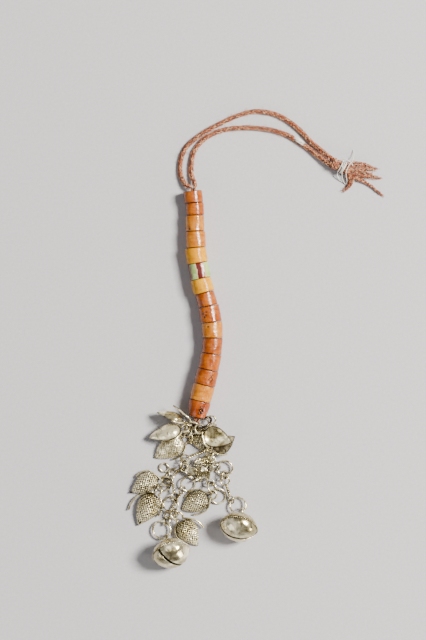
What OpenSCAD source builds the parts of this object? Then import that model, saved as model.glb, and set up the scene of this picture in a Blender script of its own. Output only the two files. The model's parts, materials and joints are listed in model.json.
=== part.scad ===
// Pendant of glass beads, leaves and two round bells on a doubled cord.
// It lies on a surface at z = 0 and is seen from straight above, cord end up.

/* [Beads] */
// Diameter of the thread hole through a bead
bead_bore = 3.4; // [3.2:0.1:3.6]
// Radius of the rounding at the ends of a bead
bead_round = 0.8; // [0.5:0.1:1]

/* [Cord] */
// Diameter of a free strand
strand_d = 2; // [1.8:0.1:2]
// Diameter of a strand drawn tight through the beads
drawn_d = 1.2; // [1:0.1:1.2]
// Distance of each drawn strand from the middle of the hole
drawn_off = 0.65; // [0.62:0.01:0.68]
// Radius of the wrapped head that the two strands end in
head_r = 2.2; // [2:0.1:2.3]
// Diameter of the white binding thread
thread_d = 0.6; // [0.4:0.1:0.6]

/* [Wire] */
// Wire radius of the jump rings
ring_wire = 0.4; // [0.3:0.05:0.4]
// Wire radius of the eyes on the leaves
eye_wire = 0.38; // [0.3:0.02:0.4]
// Radius of an eye, to the middle of its wire
eye_r = 1.8; // [1.7:0.05:1.85]
// Radius of each of the two wires in a twisted link
twist_wire = 0.32; // [0.25:0.01:0.35]

/* [Leaves] */
// Distance from the middle of the eye to the shell
leaf_gap = 2.1; // [2:0.1:2.4]
// Share of the leaf that is hollow
leaf_hollow = 0.9; // [0.85:0.01:0.93]

/* [Bells] */
// Radius of a bell under its rim
bell_r = 7.4; // [7:0.1:7.5]
// Height of each half of a bell
bell_h = 5.5; // [5.2:0.1:5.8]
// Wall of a bell
bell_wall = 0.5; // [0.4:0.1:0.7]
// Radius of the milled rim where the halves meet
rim_r = 7.9; // [7.8:0.1:8]
// Thickness of the rim
rim_t = 0.8; // [0.6:0.1:1]
// Width of the slit
slit_w = 1.1; // [0.8:0.1:1.4]
// Radius of the loose ball in a bell
pellet_r = 1.6; // [1.2:0.1:1.7]

/* [Hidden] */
$fn = 32;
// Number of sides of a strand, a wire and a twisted wire
STRAND_SIDES = 8;
WIRE_SIDES = 6;
PAIR_SIDES = 8;
STEPS_A_TURN = 6;
// Overshoot of a cut
CUT = 1;

// Beads from the cord end down: x and y of the middle, lean from the y axis,
// diameter, length
BEAD_X = 0; BEAD_Y = 1; BEAD_LEAN = 2; BEAD_D = 3; BEAD_L = 4;
BEADS = [
    [0.3, 71.9, 6, 7.6, 4.6],
    [1.0, 67.0, 3, 7.2, 4.8],
    [1.0, 61.3, 1, 7.5, 6.2],
    [1.3, 54.9, 3, 8.0, 6.2],
    [1.6, 48.5, 8, 8.4, 5.8],
    [2.8, 42.4, 11, 8.4, 5.8],
    [4.0, 36.5, 15, 8.4, 5.4],
    [5.6, 31.0, 16, 7.8, 5.2],
    [7.0, 25.2, 10, 8.4, 6.0],
    [7.9, 18.8, 3, 8.4, 5.6],
    [7.9, 12.5, -5, 8.0, 5.8],
    [6.9, 6.1, -11, 8.4, 6.0],
    [5.5, -0.1, -14, 8.8, 5.8],
    [3.9, -6.2, -15, 8.8, 6.2],
    [2.4, -12.8, -11, 8.8, 6.4],
];

// Turn of the drawn cord round the dark ring, from one strand to the other
CORD_TURN = [
    [1.0, -17.0, 4.0], [0.7, -17.7, 2.9], [0.4, -18.2, 2.0],
    [0.4, -18.9, 1.5], [1.0, -19.4, 1.2], [1.9, -19.5, 1.4],
    [2.4, -19.1, 2.0], [2.4, -18.4, 2.6], [2.3, -17.2, 3.6],
];
// Ends of the drawn strands above the first bead
DRAWN_OUTER = [[-0.2, 75.0, 3.7], [-1.2, 75.8, 3.1]];
DRAWN_INNER = [[0.8, 75.0, 3.8], [1.0, 76.0, 3.4]];

// Free strands from the beads to the wrapped head
OUTER = [
    [-1.2, 75.8, 3.1], [-3.2, 77.4, 1.9], [-4.8, 81.4, 1.1],
    [-4.6, 86.6, 1.1], [-2.6, 91.6, 1.1], [1.2, 95.2, 1.1],
    [5.6, 98.3, 1.1], [11.7, 101.5, 1.1], [17.8, 104.3, 1.1],
    [25.1, 106.2, 1.1], [32.6, 105.2, 1.1], [38.4, 102.3, 1.1],
    [43.2, 98.4, 1.1], [47.2, 94.2, 1.2], [51.4, 90.6, 1.6],
    [55.0, 87.6, 2.4], [56.6, 86.5, 2.8],
];
INNER = [
    [1.0, 76.0, 3.4], [0.7, 77.8, 2.5], [-0.4, 81.2, 1.2],
    [-0.3, 86.2, 1.1], [1.1, 90.8, 1.1], [4.6, 94.9, 1.1],
    [9.6, 97.8, 1.1], [14.2, 99.1, 1.1], [18.8, 99.6, 1.1],
    [24.4, 99.6, 1.1], [30.8, 98.9, 1.1], [36.6, 97.3, 1.1],
    [41.8, 94.5, 1.1], [46.0, 91.6, 1.2], [49.9, 88.5, 1.7],
    [53.6, 85.8, 2.5], [55.7, 84.3, 2.8],
];

// Wrapped head: start, heading, length
HEAD_AT = [56.6, 85.2, 2.9];
HEAD_HEADING = -25;
HEAD_L = 5.6;
// Locks of the tassel: points and the radius at each
LOCKS = [
    [[61.2, 83.4, 2.9, 1.9], [64.4, 84.2, 2.4, 2.2], [68.6, 84.0, 1.7, 1.5],
     [71.8, 83.4, 1.0, 0.9], [74.6, 83.0, 0.5, 0.3]],
    [[61.2, 83.0, 2.8, 1.8], [64.8, 82.2, 2.2, 2.0], [69.4, 80.9, 1.5, 1.3],
     [73.0, 80.0, 0.9, 0.7], [76.0, 79.3, 0.5, 0.3]],
    [[61.5, 82.6, 2.6, 1.5], [65.0, 80.2, 2.0, 1.5], [69.6, 77.6, 1.2, 0.9],
     [73.6, 74.6, 0.8, 0.6], [77.0, 71.8, 0.5, 0.3]],
    [[61.8, 82.4, 2.6, 1.4], [63.2, 80.2, 1.9, 1.4], [63.2, 77.8, 1.2, 1.0],
     [61.8, 75.6, 0.8, 0.7], [59.4, 74.0, 0.5, 0.3]],
    [[62.0, 82.6, 2.5, 1.4], [64.8, 80.8, 1.8, 1.3], [66.2, 78.6, 0.8, 0.4]],
];
// Places of the thread's turns along the head, and its two loose ends
THREAD_TURNS = [2.6, 3.3, 4.0];
THREAD_TURN_R = 2.6;
THREAD_TAILS = [
    [[61.3, 85.9, 2.9], [62.4, 87.2, 2.4], [63.8, 88.8, 1.4],
     [64.4, 91.0, 0.5]],
    [[57.9, 81.7, 2.9], [57.9, 80.4, 2.0], [58.8, 78.8, 0.8],
     [60.6, 77.2, 0.4]],
];

// Jump rings: middle, heading, roll about the heading, radius, wire radius
RING_AT = 0; RING_HEADING = 1; RING_ROLL = 2; RING_R = 3; RING_WIRE = 4;
DARK_RING = [[4.4, -18.1, 3.5], 26, -62, 3.4, 0.45];
TOP_RING = [[0.2, -20.2, 4.0], 0, 12, 2.35, ring_wire];
OVAL_RING = [[-1.5, -21.9, 2.75], 75, -60, 1.9, ring_wire];
WING_RING = [[-3.3, -34.8, 2.2], 95, 50, 2.0, ring_wire];
LOBE_RING = [[-1.8, -42.6, 1.4], 45, 17, 2.9, ring_wire];
SPREAD_RING = [[-9.0, -39.7, 2.1], 50, -50, 2.2, ring_wire];
UPPER_RING = [[-11.3, -36.2, 0.7], 30, 4, 1.7, ring_wire];
SIDE_RING = [[-11.4, -42.5, 1.4], 0, 4, 2.8, ring_wire];
WIDE_RING = [[-8.7, -50.8, 1.8], 60, -18, 3.0, ring_wire];
LOW_RING = [[-12.3, -61.0, 1.7], 35, -4, 3.5, ring_wire];
MID_RING = [[-7.3, -54.5, 2.8], 300, -50, 2.1, ring_wire];
SMALL_RING = [[-10.2, -57.2, 1.8], 235, 50, 1.7, ring_wire];
CORNER_RING = [[7.8, -44.1, 2.2], 293, -50, 2.3, ring_wire];
DROP_RING = [[10.3, -47.6, 1.25], 45, 15, 3.0, ring_wire];
EDGE_RING = [[9.0, -36.0, 2.1], 0, 52, 2.0, ring_wire];
ROUND_RING = [[12.9, -36.4, 1.6], 20, 6, 3.0, ring_wire];
SADDLE_RING = [[12.8, -39.2, 1.95], 80, 55, 1.8, ring_wire];
BELL_RING = [[18.1, -51.2, 1.8], 22, -11, 3.2, ring_wire];

// Twisted links: middle of the first loop, heading, pitch, distance between
// the loops' middles, radii and rolls of the two loops, turns
LINK_AT = 0; LINK_HEADING = 1; LINK_PITCH = 2; LINK_L = 3;
LINK_R = 4; LINK_ROLL = 5; LINK_TURNS = 6;
HIDDEN_LINK = [[7.6, -17.0, 2.9], 271, 0, 9.6, [1.6, 1.4], [0, -40], 3];
LONG_LINK = [[-3.1, -32.6, 2.5], 22, 3, 11.1, [1.6, 1.5], [0, 0], 4];
UPRIGHT_LINK = [[-7.9, -41.0, 3.3], 275, -11, 6.8, [1.5, 1.6], [90, -50], 2];
FORKED_LINK = [[12.9, -41.3, 2.3], 288, -4, 8.0, [1.8, 1.6], [0, 50], 3];
LOWER_LINK = [[-4.1, -45.1, 1.6], 242, -2, 11.5, [1.6, 1.5], [-50, 0], 4];
SHORT_LINK = [[-2.8, -36.2, 1.4], 200, -1, 5.4, [1.5, 1.5], [0, 0], 1];

// Leaves: middle of the eye, heading of the tip, pitch, roll, length, width,
// depth, how far each leg of the wire runs and how far it stands off the shell,
// how far the shell is bent to one side, and the twist of the eye
LEAF_AT = 0; LEAF_HEADING = 1; LEAF_PITCH = 2; LEAF_ROLL = 3;
LEAF_L = 4; LEAF_W = 5; LEAF_D = 6; LEAF_LEGS = 7; LEAF_OFF = 8;
LEAF_SHIFT = 9; LEAF_TWIST = 10;
LEAVES = [
    [[-1.8, -24.2, 2.6], 214, -8, 0, 14.0, 9.4, 3.4, [10.0, 9.5], [0.4, 0.3], -0.8, 0],
    [[-13.5, -45.3, 1.8], 241, -3, 0, 14.4, 9.4, 3.4, [9.0, 6.5], [0.6, 0.2], -0.5, 52],
    [[-10.4, -41.5, 2.6], 214, -6, 0, 12.4, 8.0, 3.2, [5.0, 9.0], [0.3, 0.5], -4, 0],
    [[7.9, -46.8, 3.0], 206, -11, 0, 12.2, 8.6, 3.2, [10.5, 10.5], [0.9, 0.5], 0, 0],
    [[-5.7, -55.7, 2.9], 304, -8, 0, 12.3, 8.6, 3.2, [9.5, 9.0], [2.2, 0.6], 0, 0],
    [[-2.9, -20.4, 4.1], 195, -3, 45, 13.0, 8.2, 3.0, [7.0, 6.0], [0.2, 0.2], 0, 0],
    [[-2.3, -18.4, 4.9], 160, 0, 80, 10.6, 8.0, 2.8, [6.0, 6.0], [0.2, 0.2], 0, 0],
    [[2.9, -20.5, 5.3], 342, 2, 180, 12.0, 8.6, 1.4, [6.0, 6.0], [0.2, 0.2], 1.2, 0],
    [[7.1, -30.0, 4.1], 33, -5, 180, 9.8, 7.4, 1.2, [5.5, 5.5], [0.2, 0.2], 0, -50],
    [[-1.3, -20.8, 1.9], 309, -5, 0, 11.2, 7.2, 1.4, [5.0, 5.0], [0.2, 0.2], 1.0, 0],
];

// Bells: middle, tilt and heading of the loop end, turn of the slit, turn of
// the loop
BELL_AT = 0; BELL_TILT = 1; BELL_HEADING = 2; BELL_SLIT = 3; BELL_LOOP = 4;
LEFT_BELL = [[-8.4, -69.8, 6.9], 128, 107.5, 147, 0];
RIGHT_BELL = [[18.4, -59.4, 7.0], 125.5, 77, 90, 0];
BELL_LOOP_R = 1.8;
BELL_LOOP_WIRE = 0.45;
BELL_LOOP_UP = 1.5;
// Loose balls
LEFT_PELLET = [-7.9, -71.2, 2.5];
RIGHT_PELLET = [18.0, -60.7, 2.6];

// Plaque: middle, heading and pitch of its sheet
PLAQUE_AT = [3.4, -36.4, 2.1];
PLAQUE_PITCH = 0;
PLAQUE_ROLL = 3;
PLAQUE_T = 0.7;
PLAQUE_W = 15.0;
PLAQUE_HOLE = 1.2;
PLAQUE_HOLES = [[3.6, 0.1], [-6.7, 0.2], [3.7, -5.6]];
EDGE_LUG = 1.7;
PLAQUE_LOOP = [-2.4, -4.7, -0.2];
// Fan of the plaque: number of curls, radius of the arc, size of a curl
FAN_CURLS = 6;
FAN_R = 3.2;
CURL_R = 1.0;
// Foot and height of the wires that stand on the sheet
CURL_FOOT = 0.2;
CURL_H = 0.9;

// Unit vector along v
function unit(v) = v / norm(v);
// Direction of travel at each point of a route
function headings(p) = [for (i = [0:len(p) - 1])
    unit(p[min(i + 1, len(p) - 1)] - p[max(i - 1, 0)])];
// Part of n that is square to the direction t
function square_to(n, t) = unit(n - t * (n * t));
// A side vector at each point of a route, carried along without twist
function sides_of(t) = [for (i = 0, n = square_to([0.1, 0.2, 1], t[0]);
    i < len(t); i = i + 1, n = i < len(t) ? square_to(n, t[i]) : n) n];

// Tube along the points p, with a radius at each point
module tube(p, radii, sides) {
    t = headings(p);
    s = sides_of(t);
    last = len(p) - 1;
    points = [for (i = [0:last], k = [0:sides - 1])
        let (a = 360 * k / sides)
        p[i] + radii[i] * (cos(a) * s[i] + sin(a) * cross(t[i], s[i]))];
    walls = [for (i = [0:last - 1], k = [0:sides - 1])
        let (m = (k + 1) % sides, a = i * sides, b = a + sides)
        [a + k, b + k, b + m, a + m]];
    start = [for (k = [0:sides - 1]) k];
    end = [for (k = [sides - 1:-1:0]) last * sides + k];
    polyhedron(points, concat([start], walls, [end]), convexity = 6);
}

// Tube with the same radius all along
module even_tube(p, radius, sides) {
    tube(p, [for (q = p) radius], sides);
}

// Places children at a point, turned about z, pitched up and rolled
module placed(at, heading, pitch = 0, roll = 0) {
    translate(at) rotate([0, 0, heading]) rotate([0, -pitch, 0])
        rotate([roll, 0, 0]) children();
}

// One glass bead
module bead(i) {
    b = BEADS[i];
    r = b[BEAD_D] / 2;
    half = b[BEAD_L] / 2;
    arc = [0:15:90];
    profile = concat([[0, half]],
        [for (a = arc) [r - bead_round + bead_round * sin(a),
                        half - bead_round + bead_round * cos(a)]],
        [for (a = arc) [r - bead_round + bead_round * cos(a),
                        bead_round - half - bead_round * sin(a)]],
        [[0, -half]]);
    color(i == 4 || i == 6 ? "goldenrod" : i == 5 ? "palegoldenrod"
        : i > 12 ? "orangered" : "darkorange")
    translate([b[BEAD_X], b[BEAD_Y], r]) rotate([0, 0, b[BEAD_LEAN]])
    rotate([90, 0, 0]) difference() {
        rotate_extrude() polygon(profile);
        cylinder(d = bead_bore, h = b[BEAD_L] + CUT, center = true);
    }
}

// Where a drawn strand passes the middle of each bead
function drawn(side) = [for (b = BEADS)
    [b[BEAD_X] + side * drawn_off * cos(b[BEAD_LEAN]),
     b[BEAD_Y] + side * drawn_off * sin(b[BEAD_LEAN]), b[BEAD_D] / 2]];
function reversed(p) = [for (i = [len(p) - 1:-1:0]) p[i]];

// The doubled cord inside the beads and its turn round the dark ring
module drawn_cord() {
    color("coral") even_tube(
        concat(reversed(DRAWN_OUTER), drawn(-1), CORD_TURN,
               reversed(drawn(1)), DRAWN_INNER),
        drawn_d / 2, STRAND_SIDES);
}

// The free strands
module outer_strand() {
    color("coral") even_tube(OUTER, strand_d / 2, STRAND_SIDES);
}

module inner_strand() {
    color("coral") even_tube(INNER, strand_d / 2, STRAND_SIDES);
}

// Wrapped head and the frayed locks behind it
module tassel() {
    color("coral") {
        placed(HEAD_AT, HEAD_HEADING) rotate([0, 90, 0])
            cylinder(r = head_r, h = HEAD_L, $fn = 16);
        for (lock = LOCKS)
            tube([for (q = lock) [q.x, q.y, q.z]], [for (q = lock) q[3]],
                 WIRE_SIDES);
    }
}

// White thread wound round the head, with two loose ends
module binding_thread() {
    color("white") {
        placed(HEAD_AT, HEAD_HEADING)
            for (along = THREAD_TURNS)
                translate([along, 0, 0]) rotate([0, 90, 0])
                    rotate_extrude() translate([THREAD_TURN_R, 0])
                        circle(d = thread_d, $fn = 12);
        for (tail = THREAD_TAILS)
            even_tube(tail, thread_d / 2, WIRE_SIDES);
    }
}

// Jump ring from one line of the list
module jump_ring(ring, shade = "darkkhaki") {
    color(shade)
    placed(ring[RING_AT], ring[RING_HEADING], 0, ring[RING_ROLL])
        rotate_extrude() translate([ring[RING_R], 0])
            circle(r = ring[RING_WIRE], $fn = 16);
}

// Link of two wires twisted together between two loops
module twisted_link(link) {
    ra = link[LINK_R][0];
    rb = link[LINK_R][1];
    whole = link[LINK_L] + ra + rb + 2 * twist_wire;
    color("darkkhaki")
    placed(link[LINK_AT], link[LINK_HEADING], link[LINK_PITCH])
    resize([whole, 0, 0], auto = true) union() {
        rotate([link[LINK_ROLL][0], 0, 0]) loop(ra);
        translate([link[LINK_L], 0, 0]) rotate([link[LINK_ROLL][1], 0, 0])
            loop(rb);
        translate([ra, 0, 0])
            twisted_pair(link[LINK_L] - ra - rb, link[LINK_TURNS]);
    }
}

// Distance to the outside of two wires side by side, at an angle from the
// line that joins their middles
function pair_edge(angle) =
    let (off = 0.9 * twist_wire, beside = off * sin(angle))
    off * abs(cos(angle)) + sqrt(twist_wire * twist_wire - beside * beside);

// Two wires wound round each other along x
module twisted_pair(span, turns) {
    rows = STEPS_A_TURN * turns;
    points = [for (i = [0:rows], k = [0:PAIR_SIDES - 1])
        let (a = 360 * k / PAIR_SIDES,
             r = pair_edge(a - 360 * turns * i / rows))
        [span * i / rows, r * cos(a), r * sin(a)]];
    walls = [for (i = [0:rows - 1], k = [0:PAIR_SIDES - 1])
        let (n = (k + 1) % PAIR_SIDES, at = i * PAIR_SIDES)
        [at + k, at + PAIR_SIDES + k, at + PAIR_SIDES + n, at + n]];
    first = [for (k = [0:PAIR_SIDES - 1]) k];
    last = [for (k = [PAIR_SIDES - 1:-1:0]) rows * PAIR_SIDES + k];
    polyhedron(points, concat(walls, [first, last]), convexity = 8);
}

// Closed loop of the twisted link's wire
module loop(r) {
    rotate_extrude($fn = 14) translate([r, 0])
        circle(r = twist_wire, $fn = WIRE_SIDES);
}

// Half width of a leaf of half width 1 at the angle t from its round end
function leaf_edge(t) = sin(t) * cos(t / 2) / 0.77;
// Angle t at which the leaf has run the share s of its length
function leaf_angle(s) = acos(1 - 2 * max(0, min(1, s)));

// Solid dome in the outline of a leaf, round end at the origin, tip at +x
module leaf_dome(leaf) {
    across = 8;
    along = [14, 32, 52, 72, 92, 112, 132, 150, 166];
    rows = len(along);
    wide = across + 1;
    points = concat([[0, 0, 0]],
        [for (t = along, k = [0:across])
            let (w = leaf_edge(t), a = 180 * k / across)
            [leaf[LEAF_L] * (1 - cos(t)) / 2, leaf[LEAF_W] / 2 * w * cos(a),
             leaf[LEAF_D] * pow(w, 0.8) * sin(a)]],
        [[leaf[LEAF_L], 0, 0]]);
    tip = len(points) - 1;
    final = 1 + (rows - 1) * wide;
    faces = concat(
        [for (k = [0:across - 1]) [0, 1 + k, 2 + k]],
        [for (i = [0:rows - 2], k = [0:across - 1])
            let (a = 1 + i * wide + k, b = a + wide)
            [a, b, b + 1, a + 1]],
        [for (k = [0:across - 1]) [tip, final + k + 1, final + k]],
        [concat([0], [for (i = [0:rows - 1]) 1 + i * wide + across], [tip],
            [for (i = [rows - 1:-1:0]) 1 + i * wide])]);
    polyhedron(points, faces, convexity = 4);
}

// Leg of a leaf's wire, from the neck of the eye along one edge of the shell
function leaf_leg(leaf, side) =
    let (reach = leaf[LEAF_LEGS][side > 0 ? 0 : 1],
         off = leaf[LEAF_OFF][side > 0 ? 0 : 1], shift = leaf[LEAF_SHIFT],
         steps = 4, from = leaf_gap + 1.4)
    concat([[leaf_gap - 0.1, side * 1.9 + 0.5 * shift, 0]],
        [for (i = [0:steps])
            let (x = from + (reach - from) * i / steps,
                 w = leaf_edge(leaf_angle((x - leaf_gap) / leaf[LEAF_L])))
            [x, shift + side * (leaf[LEAF_W] / 2 * w + 0.25 + off * i / steps),
             0]]);

// Hollow leaf with the bent wire that is soldered to its edge
module hanging_leaf(i) {
    leaf = LEAVES[i];
    neck = 40;
    twist = leaf[LEAF_TWIST];
    eye = [for (a = [neck:28:360 - neck])
        [eye_r * cos(a), eye_r * sin(a) * cos(twist),
         eye_r * sin(a) * sin(twist)]];
    route = concat(reversed(leaf_leg(leaf, 1)), eye, leaf_leg(leaf, -1));
    reach = max(leaf_gap + leaf[LEAF_L], leaf[LEAF_LEGS][0],
                leaf[LEAF_LEGS][1]);
    color(i < 5 ? "khaki" : "darkkhaki")
    placed(leaf[LEAF_AT], leaf[LEAF_HEADING], leaf[LEAF_PITCH],
           leaf[LEAF_ROLL])
    resize([reach + eye_r + eye_wire, 0, 0], auto = true) union() {
        translate([leaf_gap, leaf[LEAF_SHIFT], 0]) difference() {
            leaf_dome(leaf);
            translate([leaf[LEAF_L] * (1 - leaf_hollow) * 0.4, 0, -0.02])
                scale(leaf_hollow) leaf_dome(leaf);
        }
        even_tube(route, eye_wire, WIRE_SIDES);
    }
}

// Outline of one half of a bell, from the rim to the pole
function bell_arc(r, h) = [for (a = [0:10:80]) [r * cos(a), h * sin(a)]];

// Round bell of two domed halves with a milled rim, a slit and a loop
module round_bell(bell) {
    outer = bell_arc(bell_r, bell_h);
    inner = bell_arc(bell_r - bell_wall, bell_h - bell_wall);
    half = concat([[0, bell_h]], reversed(outer), inner,
        [[0, bell_h - bell_wall]]);
    color("khaki")
    translate(bell[BELL_AT])
    rotate([0, bell[BELL_TILT], bell[BELL_HEADING]]) {
        difference() {
            rotate_extrude($fn = 64) union() {
                polygon(half);
                mirror([0, 1]) polygon(half);
                translate([bell_r - bell_wall, -rim_t / 2])
                    square([rim_r - bell_r + bell_wall, rim_t]);
            }
            rotate([0, 0, bell[BELL_SLIT]])
                translate([-rim_r - CUT, -slit_w / 2, -bell_h - CUT])
                    cube([2 * (rim_r + CUT), slit_w,
                          bell_h + CUT - rim_t / 2]);
        }
        translate([0, 0, bell_h + BELL_LOOP_UP])
            rotate([90, 0, bell[BELL_LOOP]]) rotate_extrude()
                translate([BELL_LOOP_R, 0])
                    circle(r = BELL_LOOP_WIRE, $fn = 16);
    }
}

// Loose ball in a bell
module pellet(at) {
    color("dimgray") translate(at) sphere(r = pellet_r, $fn = 24);
}

// Outline of the plaque's sheet, with its holes
module plaque_sheet() {
    difference() {
        union() {
            translate([1.4, 0.4]) circle(r = 3.2);
            translate([-3.9, -1.1]) scale([1.5, 1]) circle(r = 1.7);
            translate([-1.8, -1.4]) square([4, 2.4], center = true);
            translate([-6.7, 0.2]) circle(r = EDGE_LUG);
            translate([-5.6, -0.8]) square([2.6, 1.6], center = true);
            translate([-0.9, -4.1]) circle(r = 1.4);
            translate([0.4, -2.6]) square(2.6, center = true);
            translate([3.0, 2.4]) circle(r = FAN_R);
            translate([3.6, 0.4]) circle(r = EDGE_LUG);
            translate([3.7, -5.6]) circle(r = EDGE_LUG);
            translate([2.8, -3.2]) square([2, 3.4], center = true);
        }
        for (hole = PLAQUE_HOLES) translate(hole) circle(r = PLAQUE_HOLE);
    }
}

// Outline of the wires that stand on the plaque's sheet
module plaque_wires() {
    for (i = [0:FAN_CURLS - 1])
        translate([3.0, 2.4]) rotate(15 + 32 * i)
            translate([FAN_R - 0.9, 0]) flat_curl(CURL_R);
    translate([-1.2, 3.2]) flat_curl(1.2);
    translate([-3.9, -1.1]) scale([1.5, 1]) flat_curl(1.3);
    translate([-0.9, -4.1]) flat_curl(0.9);
}

// Ring of filigree wire lying flat
module flat_curl(r) {
    difference() {
        circle(r = r + twist_wire);
        circle(r = r - twist_wire);
    }
}

// Filigree plaque: sheet, wires that lie on it and a standing loop
module plaque() {
    color("khaki")
    placed(PLAQUE_AT, 0, PLAQUE_PITCH, PLAQUE_ROLL)
    resize([PLAQUE_W, 0, 0], auto = true) union() {
        linear_extrude(PLAQUE_T, $fn = 16) plaque_sheet();
        translate([0, 0, CURL_FOOT])
            linear_extrude(CURL_H, $fn = 14) plaque_wires();
        translate(PLAQUE_LOOP) rotate([90, 0, 30]) curl(1.3);
    }
}

// Small round ring of wire
module curl(r) {
    rotate_extrude($fn = 12) translate([r, 0])
        circle(r = twist_wire, $fn = WIRE_SIDES);
}

bead(0);  // bead_1
bead(1);  // bead_2
bead(2);  // bead_3
bead(3);  // bead_4
bead(4);  // bead_5
bead(5);  // bead_6
bead(6);  // bead_7
bead(7);  // bead_8
bead(8);  // bead_9
bead(9);  // bead_10
bead(10);  // bead_11
bead(11);  // bead_12
bead(12);  // bead_13
bead(13);  // bead_14
bead(14);  // bead_15
drawn_cord();
outer_strand();
inner_strand();
tassel();
binding_thread();
jump_ring(DARK_RING, "dimgray");  // dark_ring
jump_ring(TOP_RING);  // top_ring
jump_ring(OVAL_RING);  // oval_ring
jump_ring(WING_RING);  // wing_ring
jump_ring(LOBE_RING);  // lobe_ring
jump_ring(SPREAD_RING);  // spread_ring
jump_ring(UPPER_RING);  // upper_ring
jump_ring(SIDE_RING);  // side_ring
jump_ring(WIDE_RING);  // wide_ring
jump_ring(LOW_RING);  // low_ring
jump_ring(MID_RING);  // mid_ring
jump_ring(SMALL_RING);  // small_ring
jump_ring(CORNER_RING);  // corner_ring
jump_ring(DROP_RING);  // drop_ring
jump_ring(EDGE_RING);  // edge_ring
jump_ring(ROUND_RING);  // round_ring
jump_ring(SADDLE_RING);  // saddle_ring
jump_ring(BELL_RING);  // bell_ring
twisted_link(HIDDEN_LINK);  // hidden_link
twisted_link(LONG_LINK);  // long_link
twisted_link(UPRIGHT_LINK);  // upright_link
twisted_link(FORKED_LINK);  // forked_link
twisted_link(LOWER_LINK);  // lower_link
twisted_link(SHORT_LINK);  // short_link
hanging_leaf(0);  // leaf_1
hanging_leaf(1);  // leaf_2
hanging_leaf(2);  // leaf_3
hanging_leaf(3);  // leaf_4
hanging_leaf(4);  // leaf_5
hanging_leaf(5);  // leaf_6
hanging_leaf(6);  // leaf_7
hanging_leaf(7);  // leaf_8
hanging_leaf(8);  // leaf_9
hanging_leaf(9);  // leaf_10
round_bell(LEFT_BELL);  // left_bell
round_bell(RIGHT_BELL);  // right_bell
pellet(LEFT_PELLET);  // left_pellet
pellet(RIGHT_PELLET);  // right_pellet
plaque();
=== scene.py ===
"""Dresses a pendant of glass beads, leaves and two round bells on a cord.

Lengths are in millimetres in every table and class here, and become metres
where a mesh is made. The pendant lies on a surface at z = 0 and is seen from
straight above, with the cord at the top.
"""

import json
import logging
import random
from dataclasses import dataclass
from enum import Enum
from math import acos, atan2, cos, degrees, dist, hypot, pi, radians, sin, sqrt, tan, tau
from typing import Sequence

import bmesh
import bpy
from mathutils import Matrix, Vector
from mathutils.noise import noise

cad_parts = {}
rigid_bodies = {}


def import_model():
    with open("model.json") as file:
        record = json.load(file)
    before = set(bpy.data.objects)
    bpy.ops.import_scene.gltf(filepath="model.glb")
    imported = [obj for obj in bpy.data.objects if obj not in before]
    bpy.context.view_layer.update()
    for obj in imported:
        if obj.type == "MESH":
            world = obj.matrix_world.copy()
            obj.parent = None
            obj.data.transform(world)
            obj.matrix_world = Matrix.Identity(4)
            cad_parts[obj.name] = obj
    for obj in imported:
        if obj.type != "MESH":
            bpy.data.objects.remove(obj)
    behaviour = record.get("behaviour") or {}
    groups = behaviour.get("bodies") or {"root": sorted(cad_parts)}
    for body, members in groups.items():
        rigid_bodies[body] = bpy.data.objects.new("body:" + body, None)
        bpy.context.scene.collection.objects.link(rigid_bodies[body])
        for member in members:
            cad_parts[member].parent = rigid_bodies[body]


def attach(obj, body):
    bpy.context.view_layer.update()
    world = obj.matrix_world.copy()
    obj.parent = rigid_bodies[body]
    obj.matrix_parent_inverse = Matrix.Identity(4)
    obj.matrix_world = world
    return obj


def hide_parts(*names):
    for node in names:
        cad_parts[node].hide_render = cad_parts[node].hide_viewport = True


for leftover in list(bpy.data.objects):
    bpy.data.objects.remove(leftover)
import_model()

log = logging.getLogger("pendant")
logging.basicConfig(level=logging.INFO, format="%(name)s: %(message)s")

MM = 0.001
WELD = 1e-3
Pair = tuple[float, float]
Point = tuple[float, float, float]
Station = tuple[float, float, float, float]
Route = list[Vector]
Colour = tuple[float, ...]
Mesh = bmesh.types.BMesh
Piece = bpy.types.Object
Socket = bpy.types.NodeSocket
Group = bpy.types.NodeTree


class Slot(Enum):
    """Material slots of the record that the pieces take their finish from."""

    BEAD_ORANGE = "bead_orange"
    BEAD_LIGHT = "bead_light"
    BEAD_YELLOW = "bead_yellow"
    BEAD_GREEN = "bead_green"
    BEAD_DEEP = "bead_deep"
    BEAD_BROWN = "bead_brown"
    CORD = "cord"
    THREAD = "thread"
    DARK_WIRE = "dark_wire"
    WIRE = "wire"
    TWISTED_WIRE = "twisted_wire"
    LEAF = "leaf"
    BELL = "bell"
    FILIGREE = "filigree"
    PELLET = "pellet"


# ---------------------------------------------------------------- geometry


def turn(axis: str, angle: float) -> Matrix:
    """A turn about an axis, by degrees."""
    return Matrix.Rotation(radians(angle), 4, axis)


def turned(at: Point, heading: float, pitch: float = 0, roll: float = 0) -> Matrix:
    """Place of a piece whose own x axis points along its heading.

    Args:
        at: Where its own origin goes.
        heading: Turn about z, in degrees.
        pitch: Rise of its x axis, in degrees.
        roll: Turn about its x axis, in degrees.

    Returns:
        The matrix, in millimetres.
    """
    return (Matrix.Translation(at) @ turn("Z", heading) @ turn("Y", -pitch)
            @ turn("X", roll))


def polar(radius: float, angle: float, height: float = 0) -> Vector:
    """A point round the z axis, its angle in radians."""
    return Vector((radius * cos(angle), radius * sin(angle), height))


def lifted(low: float, q: Vector) -> Vector:
    """A point, raised to that height over the surface if it is lower."""
    return Vector((q.x, q.y, max(q.z, low)))


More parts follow.
